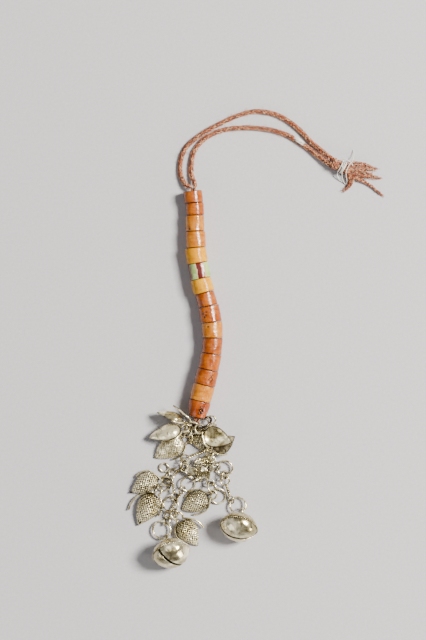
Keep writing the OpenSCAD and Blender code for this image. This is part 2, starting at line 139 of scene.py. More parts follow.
def smooth(points: Sequence[Point], steps: int = 5) -> Route:
    """Rounds a route off between its points.

    Args:
        points: The points that the route passes.
        steps: Number of pieces that each stretch is cut into.

    Returns:
        The points of the rounded route.
    """
    p = [Vector(q) for q in points]
    p = [2 * p[0] - p[1]] + p + [2 * p[-1] - p[-2]]
    route: Route = []
    for i in range(1, len(p) - 2):
        a, b, c, d = p[i - 1:i + 3]
        for k in range(steps):
            t = k / steps
            route.append(0.5 * (2 * b + (c - a) * t
                                + (2 * a - 5 * b + 4 * c - d) * t ** 2
                                + (3 * b - a - 3 * c + d) * t ** 3))
    return route + [p[-2]]


def length_of(route: Sequence[Vector]) -> float:
    """Length of a route."""
    return sum((b - a).length for a, b in zip(route, route[1:]))


def evenly(route: Route, step: float) -> Route:
    """Points a step apart along a route, its two ends included.

    Args:
        route: The route.
        step: Distance between two points.

    Returns:
        The points.
    """
    total, walked, i, out = length_of(route), 0.0, 0, []
    count = max(2, round(total / step))
    for k in range(count + 1):
        want = total * k / count
        while i < len(route) - 2 and walked + (route[i + 1] - route[i]).length < want:
            walked += (route[i + 1] - route[i]).length
            i += 1
        piece = (route[i + 1] - route[i]).length or 1
        out.append(route[i].lerp(route[i + 1], min(1, (want - walked) / piece)))
    return out


def frames(route: Route) -> list[tuple[Vector, Vector, Vector]]:
    """Direction of travel and two sides at each point, carried without twist.

    Args:
        route: The route.

    Returns:
        For each point, the way ahead and the two sides.
    """
    side = Vector((0.1, 0.2, 1))
    out = []
    for i in range(len(route)):
        ahead = (route[min(i + 1, len(route) - 1)] - route[max(i - 1, 0)]).normalized()
        side = (side - ahead * side.dot(ahead)).normalized()
        out.append((ahead, side, ahead.cross(side)))
    return out


def circle(radius: float, count: int, start: float = 0, sweep: float = 360,
           wobble: float = 0, seed: float = 0) -> Route:
    """Points of an arc about z, each a little off the true radius.

    Args:
        radius: Radius of the arc.
        count: Number of points.
        start: Angle of the first point, in degrees.
        sweep: Angle that the arc takes up, in degrees.
        wobble: Share by which the radius varies.
        seed: Picks the way it varies.

    Returns:
        The points.
    """
    steps = count if sweep == 360 else count - 1
    angles = [radians(start + sweep * k / steps) for k in range(count)]
    return [polar(radius * (1 + wobble * sin(2 * a + seed)), a) for a in angles]


def moved(place: Matrix, route: Sequence[Vector]) -> Route:
    """A route carried to its place."""
    return [place @ q for q in route]


@dataclass
class Wire:
    """One wire or fibre of a piece."""

    route: Route
    radius: float | Sequence[float]
    closed: bool = False


def in_scene(name: str, data: bpy.types.ID) -> Piece:
    """An object of the scene that shows the data.

    Args:
        name: Its name.
        data: What it shows.

    Returns:
        The object.
    """
    thing = bpy.data.objects.new(name, data)
    bpy.context.scene.collection.objects.link(thing)
    return thing


def as_piece(name: str, mesh: bpy.types.Mesh) -> Piece:
    """Puts a mesh in the scene, with smooth faces.

    Args:
        name: Name of the piece.
        mesh: Its mesh, in metres.

    Returns:
        The piece.
    """
    mesh.name = name
    mesh.polygons.foreach_set("use_smooth", [True] * len(mesh.polygons))
    return in_scene(name, mesh)


def wires(name: str, parts: Sequence[Wire], detail: int = 2,
          place: Matrix = Matrix()) -> Piece:
    """Makes round wires a single mesh.

    Args:
        name: Name of the piece.
        parts: The wires.
        detail: Roundness of a wire: 0 has four sides, each step two more.
        place: Where the wires go.

    Returns:
        The piece.
    """
    curve = bpy.data.curves.new(name, "CURVE")
    curve.dimensions = "3D"
    curve.bevel_depth = MM
    curve.bevel_resolution = detail
    curve.use_fill_caps = True
    for part in parts:
        spline = curve.splines.new("POLY")
        spline.points.add(len(part.route) - 1)
        spline.use_cyclic_u = part.closed
        for i, (point, q) in enumerate(zip(spline.points, moved(place, part.route))):
            point.co = (*(q * MM), 1)
            point.radius = part.radius if isinstance(part.radius, float) else part.radius[i]
    carrier = in_scene(name + "_route", curve)
    view = bpy.context.evaluated_depsgraph_get()
    mesh = bpy.data.meshes.new_from_object(carrier.evaluated_get(view))
    bpy.data.objects.remove(carrier)
    bpy.data.curves.remove(curve)
    mesh.materials.clear()
    return as_piece(name, mesh)


def mark(piece: Piece, label: str, value: float) -> None:
    """Gives all points of a piece the same mark, "recess" or "raised"."""
    marks = piece.data.attributes.new(label, "FLOAT", "POINT")
    marks.data.foreach_set("value", [value] * len(piece.data.vertices))


def spun(outline: Sequence[Pair], steps: int, closed: bool = True) -> Mesh:
    """Spins an outline about the z axis.

    Args:
        outline: Radius and height of its points.
        steps: Number of sides round the axis.
        closed: Whether the last point joins the first.

    Returns:
        The shape.
    """
    bm = bmesh.new()
    verts = [bm.verts.new((x, 0, z)) for x, z in outline]
    edges = [bm.edges.new(pair) for pair in zip(verts, verts[1:] + verts[:closed])]
    bmesh.ops.spin(bm, geom=verts + edges, cent=(0, 0, 0), axis=(0, 0, 1),
                   angle=tau, steps=steps, use_merge=True)
    bmesh.ops.remove_doubles(bm, verts=bm.verts, dist=WELD)
    return bm


def give_wall(bm: Mesh, wall: float) -> None:
    """Turns an open shape's faces up, gives it a wall and turns that outwards.

    Args:
        bm: The open shape.
        wall: Thickness of the wall.
    """
    bmesh.ops.recalc_face_normals(bm, faces=bm.faces)
    top = max(bm.faces, key=lambda f: f.calc_center_median().z)
    if top.normal.z < 0:
        bmesh.ops.reverse_faces(bm, faces=bm.faces)
    bmesh.ops.solidify(bm, geom=bm.faces[:], thickness=wall)
    if bm.calc_volume(signed=True) < 0:
        bmesh.ops.reverse_faces(bm, faces=bm.faces)


def shaped(name: str, bm: Mesh, place: Matrix = Matrix(), outward: bool = True) -> Piece:
    """Makes a piece of a bmesh that is in millimetres.

    Args:
        name: Name of the piece.
        bm: Its shape, which is used up.
        place: Where the shape goes.
        outward: Whether its faces are turned outwards here.

    Returns:
        The piece.
    """
    bmesh.ops.remove_doubles(bm, verts=bm.verts, dist=WELD / 10)
    if outward:
        bmesh.ops.recalc_face_normals(bm, faces=bm.faces)
    bmesh.ops.transform(bm, matrix=Matrix.Scale(MM, 4) @ place, verts=bm.verts)
    mesh = bpy.data.meshes.new(name)
    bm.to_mesh(mesh)
    bm.free()
    return as_piece(name, mesh)


def joined(name: str, pieces: Sequence[Piece]) -> Piece:
    """Makes several pieces one, under a new name.

    Args:
        name: The new name.
        pieces: The pieces, which are used up.

    Returns:
        The piece.
    """
    bm = bmesh.new()
    for piece in pieces:
        bm.from_mesh(piece.data)
        bpy.data.objects.remove(piece)
    mesh = bpy.data.meshes.new(name)
    bm.to_mesh(mesh)
    bm.free()
    return as_piece(name, mesh)


# ---------------------------------------------------------------- finishes


def shade(red: int, green: int, blue: int) -> Colour:
    """Linear colour of a screen colour of 0 to 255.

    Args:
        red: Its red.
        green: Its green.
        blue: Its blue.

    Returns:
        The colour, opaque.
    """
    def linear(value: int) -> float:
        """Linear value of one channel."""
        v = value / 255
        return v / 12.92 if v <= 0.04045 else ((v + 0.055) / 1.055) ** 2.4
    return (linear(red), linear(green), linear(blue), 1)


class Tree:
    """A node tree with short ways to add to it.

    A gap counts in full where no more than the share SHUT of its surroundings is
    open.
    """

    SHUT = 0.35
    GAP_SAMPLES = 8

    def __init__(self, tree: Group) -> None:
        """Takes the tree to build in."""
        self.tree = tree

    def feed(self, node: bpy.types.Node, given: dict) -> None:
        """Feeds a node's inputs.

        Args:
            node: The node.
            given: For each input, a value, or the socket that feeds it.
        """
        for name, value in given.items():
            if isinstance(value, Socket):
                self.tree.links.new(value, node.inputs[name])
            else:
                node.inputs[name].default_value = value

    def add(self, kind: str, given: dict | None = None, **values: object) -> bpy.types.Node:
        """Adds a node.

        Args:
            kind: Its type, without the words ShaderNode.
            given: For each input, a value, or the socket that feeds it.
            **values: The node's own settings.

        Returns:
            The node.
        """
        node = self.tree.nodes.new("ShaderNode" + kind)
        for name, value in values.items():
            setattr(node, name, value)
        self.feed(node, given or {})
        return node

    def spot(self) -> Socket:
        """The shaded point, in metres."""
        return self.add("TexCoord").outputs["Object"]

    def noise(self, at: Socket, scale: object, detail: float = 4,
              distort: float = 0) -> Socket:
        """Strength of a cloudy noise."""
        return self.add("TexNoise", {"Vector": at, "Scale": scale, "Detail": detail,
                                     "Distortion": distort}).outputs["Fac"]

    def span(self, value: Socket, low: float, high: float,
             to_low: float = 0, to_high: float = 1) -> Socket:
        """Carries a value from one range to another, and clamps it."""
        return self.add("MapRange", {"Value": value, "From Min": low, "From Max": high,
                                     "To Min": to_low, "To Max": to_high}).outputs["Result"]

    def sum(self, a: object, b: object, how: str = "ADD") -> Socket:
        """Two numbers added or subtracted, clamped to 0 to 1."""
        return self.add("Math", {0: a, 1: b}, operation=how, use_clamp=True).outputs[0]

    def times(self, a: object, b: object) -> Socket:
        """Two numbers multiplied."""
        return self.add("Math", {0: a, 1: b}, operation="MULTIPLY").outputs[0]

    def mix(self, share: object, a: object, b: object) -> Socket:
        """Two colours brought together."""
        return self.add("Mix", {0: share, 6: a, 7: b}, data_type="RGBA").outputs[2]

    def marked(self, label: str) -> Socket:
        """How strongly a point is marked, "recess" or "raised"."""
        return self.add("Attribute", attribute_name=label).outputs["Fac"]

    def sunk(self, reach: float, start: float, most: float) -> Socket:
        """How far a point lies in a narrow gap or a marked recess, of 0 to 1, which the
        materials turn into painted shade, and on metal into tarnish too.

        Args:
            reach: How far across a gap may be, in millimetres.
            start: Share of open surroundings under which a gap shows.
            most: What the narrowest gap counts.

        Returns:
            The socket.
        """
        gap = self.add("AmbientOcclusion", {"Distance": reach * MM},
                       samples=self.GAP_SAMPLES)
        return self.sum(self.span(gap.outputs["AO"], start, self.SHUT, 0, most),
                        self.marked("recess"))


def new_group(name: str, takes: Sequence[str], gives: Sequence[str]
              ) -> tuple[Tree, bpy.types.bpy_prop_collection, bpy.types.Node]:
    """Starts a node group that takes a point, three tones and some numbers.

    Args:
        name: Its name.
        takes: The numbers that it takes.
        gives: The numbers that it gives besides a colour.

    Returns:
        Its tree, the sockets of what it takes, and the node of what it gives.
    """
    group = bpy.data.node_groups.new(name, "ShaderNodeTree")
    for way, sockets in (
            ("INPUT", {"At": "Vector", "Base": "Color", "Light": "Color", "Dark": "Color",
                       **dict.fromkeys(takes, "Float")}),
            ("OUTPUT", {"Color": "Color", **dict.fromkeys(gives, "Float")})):
        for label, kind in sockets.items():
            group.interface.new_socket(name=label, in_out=way,
                                       socket_type="NodeSocket" + kind)
    return (Tree(group), group.nodes.new("NodeGroupInput").outputs,
            group.nodes.new("NodeGroupOutput"))


def worn_metal_with_painted_light() -> Group:
    """Worn metal: bright where worn and where highlights are painted, dull between, dark in
    recesses with tarnish and painted shade.

    Returns:
        The group.
    """
    t, g, out = new_group("worn_metal_with_painted_light", ("Scale", "Recess", "WearAndHighlight"),
                          ("Roughness", "Metallic", "Height"))
    cloud = t.noise(g["At"], g["Scale"], 5, 0.6)
    grain = t.noise(g["At"], t.times(g["Scale"], 6.0), 3)
    blots = t.noise(g["At"], t.times(g["Scale"], 1.9), 4, 1.2)
    # Wear and painted highlights, from the raised marks, make the metal light.
    wear_and_highlight = t.sum(t.span(cloud, 0.4, 0.64), g["WearAndHighlight"])
    stain = t.sum(t.span(blots, 0.54, 0.7, 0, 0.7),
                  t.times(t.span(grain, 0.62, 0.78), 0.35))
    # Tarnish and painted shade, from the recess marks and the gaps, make it dark.
    dirt_and_shade = t.sum(g["Recess"], stain)
    t.feed(out, {
        "Color": t.mix(dirt_and_shade, t.mix(wear_and_highlight, g["Base"], g["Light"]), g["Dark"]),
        "Roughness": t.sum(t.span(grain, 0.3, 0.75, 0.12, 0.26), t.times(dirt_and_shade, 0.3)),
        "Metallic": t.span(wear_and_highlight, 0, 1, 0.95, 0.6),
        "Height": t.times(grain, cloud)})
    return t.tree


def wound_glass() -> Group:
    """Wound glass: streaks round the bead, cloudy patches and dark specks.

    Returns:
        The group.
    """
    t, g, out = new_group("wound_glass", ("Specks",), ("Roughness", "Height"))
    across = t.add("Mapping", {"Vector": g["At"], "Scale": (300, 1300, 300)}).outputs[0]
    streak = t.noise(across, 1.0, 4, 0.8)
    cloud = t.noise(g["At"], 330.0, 3, 0.4)
    speck = t.span(t.noise(g["At"], 2600.0, 2), 0.66, 0.72)
    colour = t.mix(t.span(cloud, 0.38, 0.68), g["Base"], g["Light"])
    colour = t.mix(t.span(streak, 0.55, 0.72, 0, 0.55), colour, g["Dark"])
    colour = t.mix(t.span(streak, 0.46, 0.30, 0, 0.5), colour, g["Light"])
    t.feed(out, {
        "Color": t.mix(t.times(speck, g["Specks"]), colour, shade(44, 14, 6)),
        "Roughness": t.span(cloud, 0.3, 0.7, 0.13, 0.3),
        "Height": t.sum(streak, speck, "SUBTRACT")})
    return t.tree


def dyed_fibre() -> Group:
    """Dyed fibre: lighter and darker stretches, fine fibres and dark specks.

    Returns:
        The group.
    """
    t, g, out = new_group("dyed_fibre", ("Specks",), ("Height",))
    fine, broad = t.noise(g["At"], 5200.0, 3), t.noise(g["At"], 950.0, 2)
    speck = t.span(t.noise(g["At"], 1350.0, 2), 0.54, 0.58)
    colour = t.mix(t.span(broad, 0.46, 0.6), g["Base"], g["Light"])
    colour = t.mix(t.span(fine, 0.5, 0.68, 0, 0.6), colour, g["Dark"])
    t.feed(out, {
        "Color": t.mix(t.times(speck, g["Specks"]), colour, shade(50, 12, 6)),
        "Height": fine})
    return t.tree


def new_material(name: str, preview: Colour
                 ) -> tuple[bpy.types.Material, Tree, bpy.types.Node]:
    """Starts a material.

    Args:
        name: Its name.
        preview: Its colour where nothing is shaded.

    Returns:
        The material, its tree and its Principled shader.
    """
    material = bpy.data.materials.new(name)
    material.use_nodes = True
    material.diffuse_color = preview
    nodes = material.node_tree.nodes
    return material, Tree(material.node_tree), nodes["Principled BSDF"]


@dataclass(frozen=True)
class Finish:
    """A finish in three tones, which are screen colours of 0 to 255."""

    name: str
    base: tuple[int, int, int]
    light: tuple[int, int, int]
    dark: tuple[int, int, int]

    def begun(self, group: Group, bump: float, depth: float, **numbers: float
              ) -> tuple[bpy.types.Material, Tree, bpy.types.Node, bpy.types.Node]:
        """Starts the material, and feeds its shader from the shared group.

        Args:
            group: The shared group.
            bump: Strength of the bump.
            depth: Height of the bump, in millimetres.
            **numbers: What the group's own inputs are set to.

        Returns:
            The material, its tree, its shader and the placed group.
        """
        material, t, shader = new_material(self.name, shade(*self.base))
        placed = t.add("Group", {
            "At": t.spot(), "Base": shade(*self.base), "Light": shade(*self.light),
            "Dark": shade(*self.dark), **numbers}, node_tree=group)
        relief = t.add("Bump", {"Strength": bump, "Distance": depth * MM,
                                "Height": placed.outputs["Height"]})
        t.feed(shader, {"Base Color": placed.outputs["Color"],
                        "Normal": relief.outputs["Normal"]})
        t.feed(shader, {name: placed.outputs[name] for name in ("Roughness", "Metallic")
                        if name in placed.outputs})
        return material, t, shader, placed


@dataclass(frozen=True)
class Metal(Finish):
    """A tarnished metal."""

    scale: float
    bump: float = 0.35
    depth: float = 0.12

    def made(self, group: Group) -> bpy.types.Material:
        """Builds the material round the shared group.

        Args:
            group: The shared group.

        Returns:
            The material.
        """
        material, t, _, placed = self.begun(group, self.bump, self.depth,
                                          Scale=self.scale)
        # Recess makes the metal dark: tarnish and painted shade in narrow gaps and marked
        # recesses. The raised marks make it light: wear and painted highlights.
        t.feed(placed, {"Recess": t.sunk(1.5, 0.93, 1.0), "WearAndHighlight": t.marked("raised")})
        return material


@dataclass(frozen=True)
class Glass(Finish):
    """A nearly opaque wound glass."""

    specks: float = 0.25
    gloss: float = 0.18
    bump: float = 0.3
    depth: float = 0.15
    milk: float = 0.12
    coat_roughness: float = 0.3

    def made(self, group: Group) -> bpy.types.Material:
        """Builds the material, with painted shade in the gaps between the beads and darker
        in marked recesses.

        Args:
            group: The shared group.

        Returns:
            The material.
        """
        material, t, shader, placed = self.begun(group, self.bump, self.depth,
                                                 Specks=self.specks)
        # Painted shade: the base colour turns dark brown in narrow gaps between beads and
        # in marked recesses.
        t.feed(shader, {
            "Base Color": t.mix(t.sunk(0.9, 0.85, 0.9), placed.outputs["Color"],
                                shade(52, 20, 6)),
            "Subsurface Weight": self.milk, "Subsurface Radius": (1.0, 0.45, 0.2),
            "Subsurface Scale": 1.2 * MM, "Specular IOR Level": 0.15 + self.gloss,
            "Coat Weight": self.gloss, "Coat Roughness": self.coat_roughness})
        return material


@dataclass(frozen=True)
class Fibre(Finish):
    """A dyed or plain fibre."""

    specks: float
    bump: float = 0.5
    depth: float = 0.1
    roughness: float = 0.85
    sheen: float = 0.25
    shadow: float = 0.35

    def made(self, group: Group) -> bpy.types.Material:
        """Builds the material, with painted shade between the plies.

        Args:
            group: The shared group.

        Returns:
            The material.
        """
        material, t, shader, placed = self.begun(group, self.bump, self.depth,
                                                 Specks=self.specks)
        red, green, blue, _ = (self.shadow * c for c in shade(*self.dark))
        # Painted shade: the base colour turns a darker copy of the dark tone in narrow gaps
        # between plies and on the marked core.
        t.feed(shader, {
            "Base Color": t.mix(t.sunk(0.5, 0.85, 0.9), placed.outputs["Color"],
                                (red, green, blue, 1)),
            "Roughness": self.roughness, "Sheen Weight": self.sheen})
        return material


class Palette:
    """Every material of the pendant, built once from the shared groups."""

    METALS = {
        Slot.DARK_WIRE: Metal("blackened_wire", (66, 56, 42), (120, 108, 84),
                              (24, 18, 12), 500),
        Slot.WIRE: Metal("ring_wire", (180, 162, 110), (252, 242, 204), (44, 34, 12), 420),
        Slot.TWISTED_WIRE: Metal("twisted_wire", (158, 140, 92), (232, 216, 168),
                                 (46, 36, 14), 420),
        Slot.LEAF: Metal("leaf_metal", (190, 170, 108), (255, 242, 196), (44, 34, 12),
                         210, 0.3),
        Slot.BELL: Metal("bell_metal", (178, 164, 118), (246, 236, 200), (66, 56, 26),
                         150, 0.25),
        Slot.FILIGREE: Metal("filigree_metal", (182, 166, 116), (248, 238, 200),
                             (56, 44, 18), 380, 0.4),
        Slot.PELLET: Metal("pellet_metal", (120, 106, 76), (200, 186, 150), (40, 32, 20),
                           400),
    }
    GLASSES = {
        Slot.BEAD_ORANGE: Glass("orange_glass", (137, 59, 0), (167, 86, 4), (88, 31, 0)),
        Slot.BEAD_LIGHT: Glass("light_orange_glass", (166, 92, 4), (194, 124, 27),
                               (117, 50, 2)),
        Slot.BEAD_YELLOW: Glass("yellow_glass", (196, 126, 0), (212, 153, 0),
                                (167, 90, 0), 0.1, 0.0),
        Slot.BEAD_DEEP: Glass("deep_orange_glass", (128, 49, 2), (162, 76, 11),
                              (58, 18, 4), 0.9),
        Slot.BEAD_BROWN: Glass("brown_orange_glass", (131, 56, 2), (164, 85, 16),
                               (79, 29, 4), 0.6),
    }
    FIBRES = {
        Slot.CORD: Fibre("salmon_cord", (177, 84, 27), (229, 169, 116), (96, 31, 7), 0.95),
        Slot.THREAD: Fibre("white_thread", (218, 211, 197), (229, 227, 218),
                           (182, 166, 142), 0.1),
    }
    CRACK = Glass("stained_crack", (30, 14, 6), (58, 28, 12), (12, 6, 4))
    GREEN = Glass("green_striped_glass", (146, 175, 84), (178, 197, 127), (76, 113, 40),
                  0.9)
    STRIPES = (
        (-1.1, -0.75, 0.2, (202, 173, 136)), (-0.75, 1.0, 0.15, (84, 20, 9)),
        (0.9, 1.9, 0.25, (129, 60, 36)), (1.9, 2.4, 0.25, (187, 160, 116)))

    def __init__(self) -> None:
        """Builds the shared groups and the materials."""
        self.glass = wound_glass()
        self.made: dict[Slot, bpy.types.Material] = {}
        for finishes, group in ((self.METALS, worn_metal_with_painted_light()), (self.GLASSES, self.glass),
                                (self.FIBRES, dyed_fibre())):
            for slot, finish in finishes.items():
                self.made[slot] = finish.made(group)
        self.stain = self.CRACK.made(self.glass)

    def striped(self, at: Point, lean: float) -> bpy.types.Material:
        """Pale green glass with dark red and pinkish stripes along the bead.

        Args:
            at: Middle of the bead.
            lean: Lean of the bead from the y axis, in degrees.

        Returns:
            The material.
        """
        material = self.GREEN.made(self.glass)
        t, nodes = Tree(material.node_tree), material.node_tree.nodes
        local = t.add("Mapping", {"Vector": t.spot(), "Location": [v * MM for v in at],
                                  "Rotation": (0, 0, radians(lean))},
                      vector_type="TEXTURE").outputs[0]
        swirl = t.add("TexNoise", {"Vector": t.spot(), "Scale": 500.0}).outputs["Color"]
        wavy = t.add("Mix", {0: 0.0006, 6: local, 7: swirl}, data_type="RGBA",
                     blend_type="LINEAR_LIGHT").outputs[2]
        x = t.add("SeparateXYZ", {"Vector": wavy}).outputs["X"]
        colour = nodes["Group"].outputs["Color"]
        for left, right, soft, tint in self.STRIPES:
            inside = t.times(t.span(x, (left - soft) * MM, left * MM),
                             t.span(x, (right + soft) * MM, right * MM))
            colour = t.mix(inside, colour, shade(*tint))
        edge = t.span(x, -3.0 * MM, -3.5 * MM)
        t.feed(nodes["Principled BSDF"],
               {"Base Color": t.mix(edge, colour, shade(109, 46, 22))})
        return material


class Part:
    """A sub-assembly. All of them share the palette, which main() sets."""

    palette: Palette

    def finish(self, piece: Piece, slot: Slot, *nodes: str,
               material: bpy.types.Material | None = None) -> Piece:
        """Gives a piece its material, taken from its slot unless one is given, ties it to
        the root body and hides the nodes that it stands for.

        Args:
            piece: The piece.
            slot: Its slot in the record.
            *nodes: The nodes that it replaces.
            material: Its material, if that isn't the slot's own.

        Returns:
            The piece.
        """
        piece.data.materials.clear()
        piece.data.materials.append(material or self.palette.made[slot])
        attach(piece, "root")
        if nodes:
            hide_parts(*nodes)
        log.info("%s: %d faces", piece.name, len(piece.data.polygons))
        return piece


# ---------------------------------------------------------------- cord and beads


def sideways(angle: float, u: Vector, v: Vector) -> Vector:
    """Direction at an angle, in radians, between the two sides of a route."""
    return cos(angle) * u + sin(angle) * v


@dataclass
class BraidedCord(Part):
    """A round braid of eight plies along a route."""

    name: str
    nodes: Sequence[str]
    points: Sequence[Point]
    diameter: float = 2.0
    pitch: float = 5.4
    step: float = 0.2
    free: bool = True
    hair_count: int = 150
    hair_radii: Sequence[float] = (0.06, 0.05, 0.045, 0.03)
    core: float = 0.3
    ply_middle: float = 0.34
    ply_wave: float = 0.09
    ply: float = 0.084

    def line(self) -> Route:
        """Points close together along the middle of the cord."""
        return evenly(smooth(self.points), self.step)

    def plies(self) -> list[Wire]:
        """Four plies each way round, over and under each other.

        Returns:
            The plies.
        """
        line = self.line()
        sides = frames(line)
        out = []
        for way in (1, -1):
            for k in range(4):
                route: Route = []
                for i, (_, u, v) in enumerate(sides):
                    phase = tau * i * self.step / self.pitch
                    a = tau * (k + 0.25 * (way < 0)) / 4 + way * phase
                    r = self.diameter * self.ply_middle + way * (
                        self.diameter * self.ply_wave) * cos(4 * phase + pi / 4)
                    r *= 1 + 0.08 * noise((i * 0.05, k, way * 3.1))
                    route.append(line[i] + r * sideways(a, u, v))
                out.append(Wire(route, self.diameter * self.ply))
        return out

    def hairs(self) -> list[Wire]:
        """Short loose fibres that stand off the braid where it is free.

        Returns:
            The fibres.
        """
        pick = random.Random(len(self.points))
        line = evenly(smooth(self.points), 0.5)
        sides = frames(line)
        out = []
        for _ in range(self.hair_count * self.free):
            i = pick.randrange(2, len(line) - 2)
            ahead, u, v = sides[i]
            away = sideways(pick.uniform(0, tau), u, v)
            reach = pick.uniform(0.5, 1.3)
            lean = ahead * pick.uniform(-1.2, 1.2)
            route = [lifted(0.06, line[i] + away * (0.8 + reach * t) * self.diameter / 2
                           + lean * t * t + u * 0.15 * sin(5 * t))
                     for t in (0, 0.35, 0.7, 1)]
            out.append(Wire(route, self.hair_radii))
        return out

    def build(self, ends: Sequence[Piece] = ()) -> None:
        """Args:
            ends: Pieces at its far end. Not used.
        """
        core = wires("core", [Wire(self.line(), self.diameter * self.core)])
        # Painted shade: the core is marked fully dark, to show as shade in the gaps between
        # the plies.
        mark(core, "recess", 1.0)
        cord = joined(self.name, [core, wires("plies", [*self.plies(), *self.hairs()], 1)])
        self.finish(cord, Slot.CORD, *self.nodes)


@dataclass
class Tassel(Part):
    """The frayed end of the doubled cord, spread in locks of loose fibre."""

    head: Sequence[Station]
    locks: Sequence[Sequence[Station]]
    fibres: int = 64
    seed: int = 7
    thick: float = 0.14
    low: float = 0.12

    def lock(self, points: Sequence[Station], pick: random.Random) -> list[Wire]:
        """Fibres of one lock.

        Args:
            points: Points of its middle line, each with the lock's radius.
            pick: Source of the spread.

        Returns:
            The fibres.
        """
        whole = [*self.head, *points]
        line = smooth([p[:3] for p in whole], 4)
        widths = [q.x for q in smooth([(p[3], 0, 0) for p in whole], 4)]
        sides = frames(line)
        out = []
        for _ in range(self.fibres):
            start, far = pick.uniform(0, tau), sqrt(pick.random())
            drift, w = pick.uniform(-0.9, 0.9), pick.uniform(0, 9)
            end = round(len(line) * pick.uniform(0.72, 1.0))
            route, thick = [], []
            for i, (_, u, v) in enumerate(sides[:end]):
                t = i / (len(line) - 1)
                q = line[i] + widths[i] * far * sideways(start + drift * t * 2, u, v)
                broad = (noise((w, t * 5, 0)), noise((0, t * 5, w)), 0)
                fine = (noise((w, t * 17, 3)), noise((7, t * 17, w)),
                        noise((w, 5, t * 13)))
                q += Vector(broad) * 0.9 * t
                q += Vector(fine) * 0.75 * t
                route.append(lifted(self.low, q))
                thick.append(self.thick * (1 - 0.5 * i / end))
            out.append(Wire(route, thick))
        return out

    def build(self) -> Piece:
        """Makes all the locks one piece.

        Returns:
            The tassel.
        """
        pick = random.Random(self.seed)
        fibres = [w for points in self.locks for w in self.lock(points, pick)]
        return self.finish(wires("frayed_tassel", fibres, 0), Slot.CORD, "tassel")


@dataclass
class BindingThread(Part):
    """White thread wound round the tassel's head, with loose tails."""

    at: Point
    heading: float
    tails: Sequence[Sequence[Point]]
    start: float = 2.5
    spread: float = 1.7
    radius: float = 2.32
    turns: int = 4
    thread: float = 0.19
    low: float = 0.25
    per_turn: int = 20

    def winding(self) -> Route:
        """The thread's close turns round the head.

        Returns:
            The route.
        """
        place = turned(self.at, self.heading)
        out: Route = []
        for i in range(self.turns * self.per_turn + 1):
            a = tau * i / self.per_turn
            outer = i % (2 * self.per_turn) > self.per_turn
            r = self.radius + 0.16 * sin(a * 0.37 + 1) + 0.1 * outer
            x = self.start + self.spread * (0.5 - 0.5 * cos(a * 0.19 + 0.2)) \
                + 0.3 * sin(a + 0.8)
            q = place @ Vector((x, r * cos(a), r * sin(a)))
            out.append(lifted(self.low, q))
        return out

    def build(self) -> Piece:
        """Makes the turns and the tails one piece.

        Returns:
            The thread.
        """
        parts = [Wire(self.winding(), self.thread)]
        parts += [Wire(smooth(tail, 6), self.thread * 0.8) for tail in self.tails]
        return self.finish(wires("white_binding", parts, 1), Slot.THREAD,
                           "binding_thread")


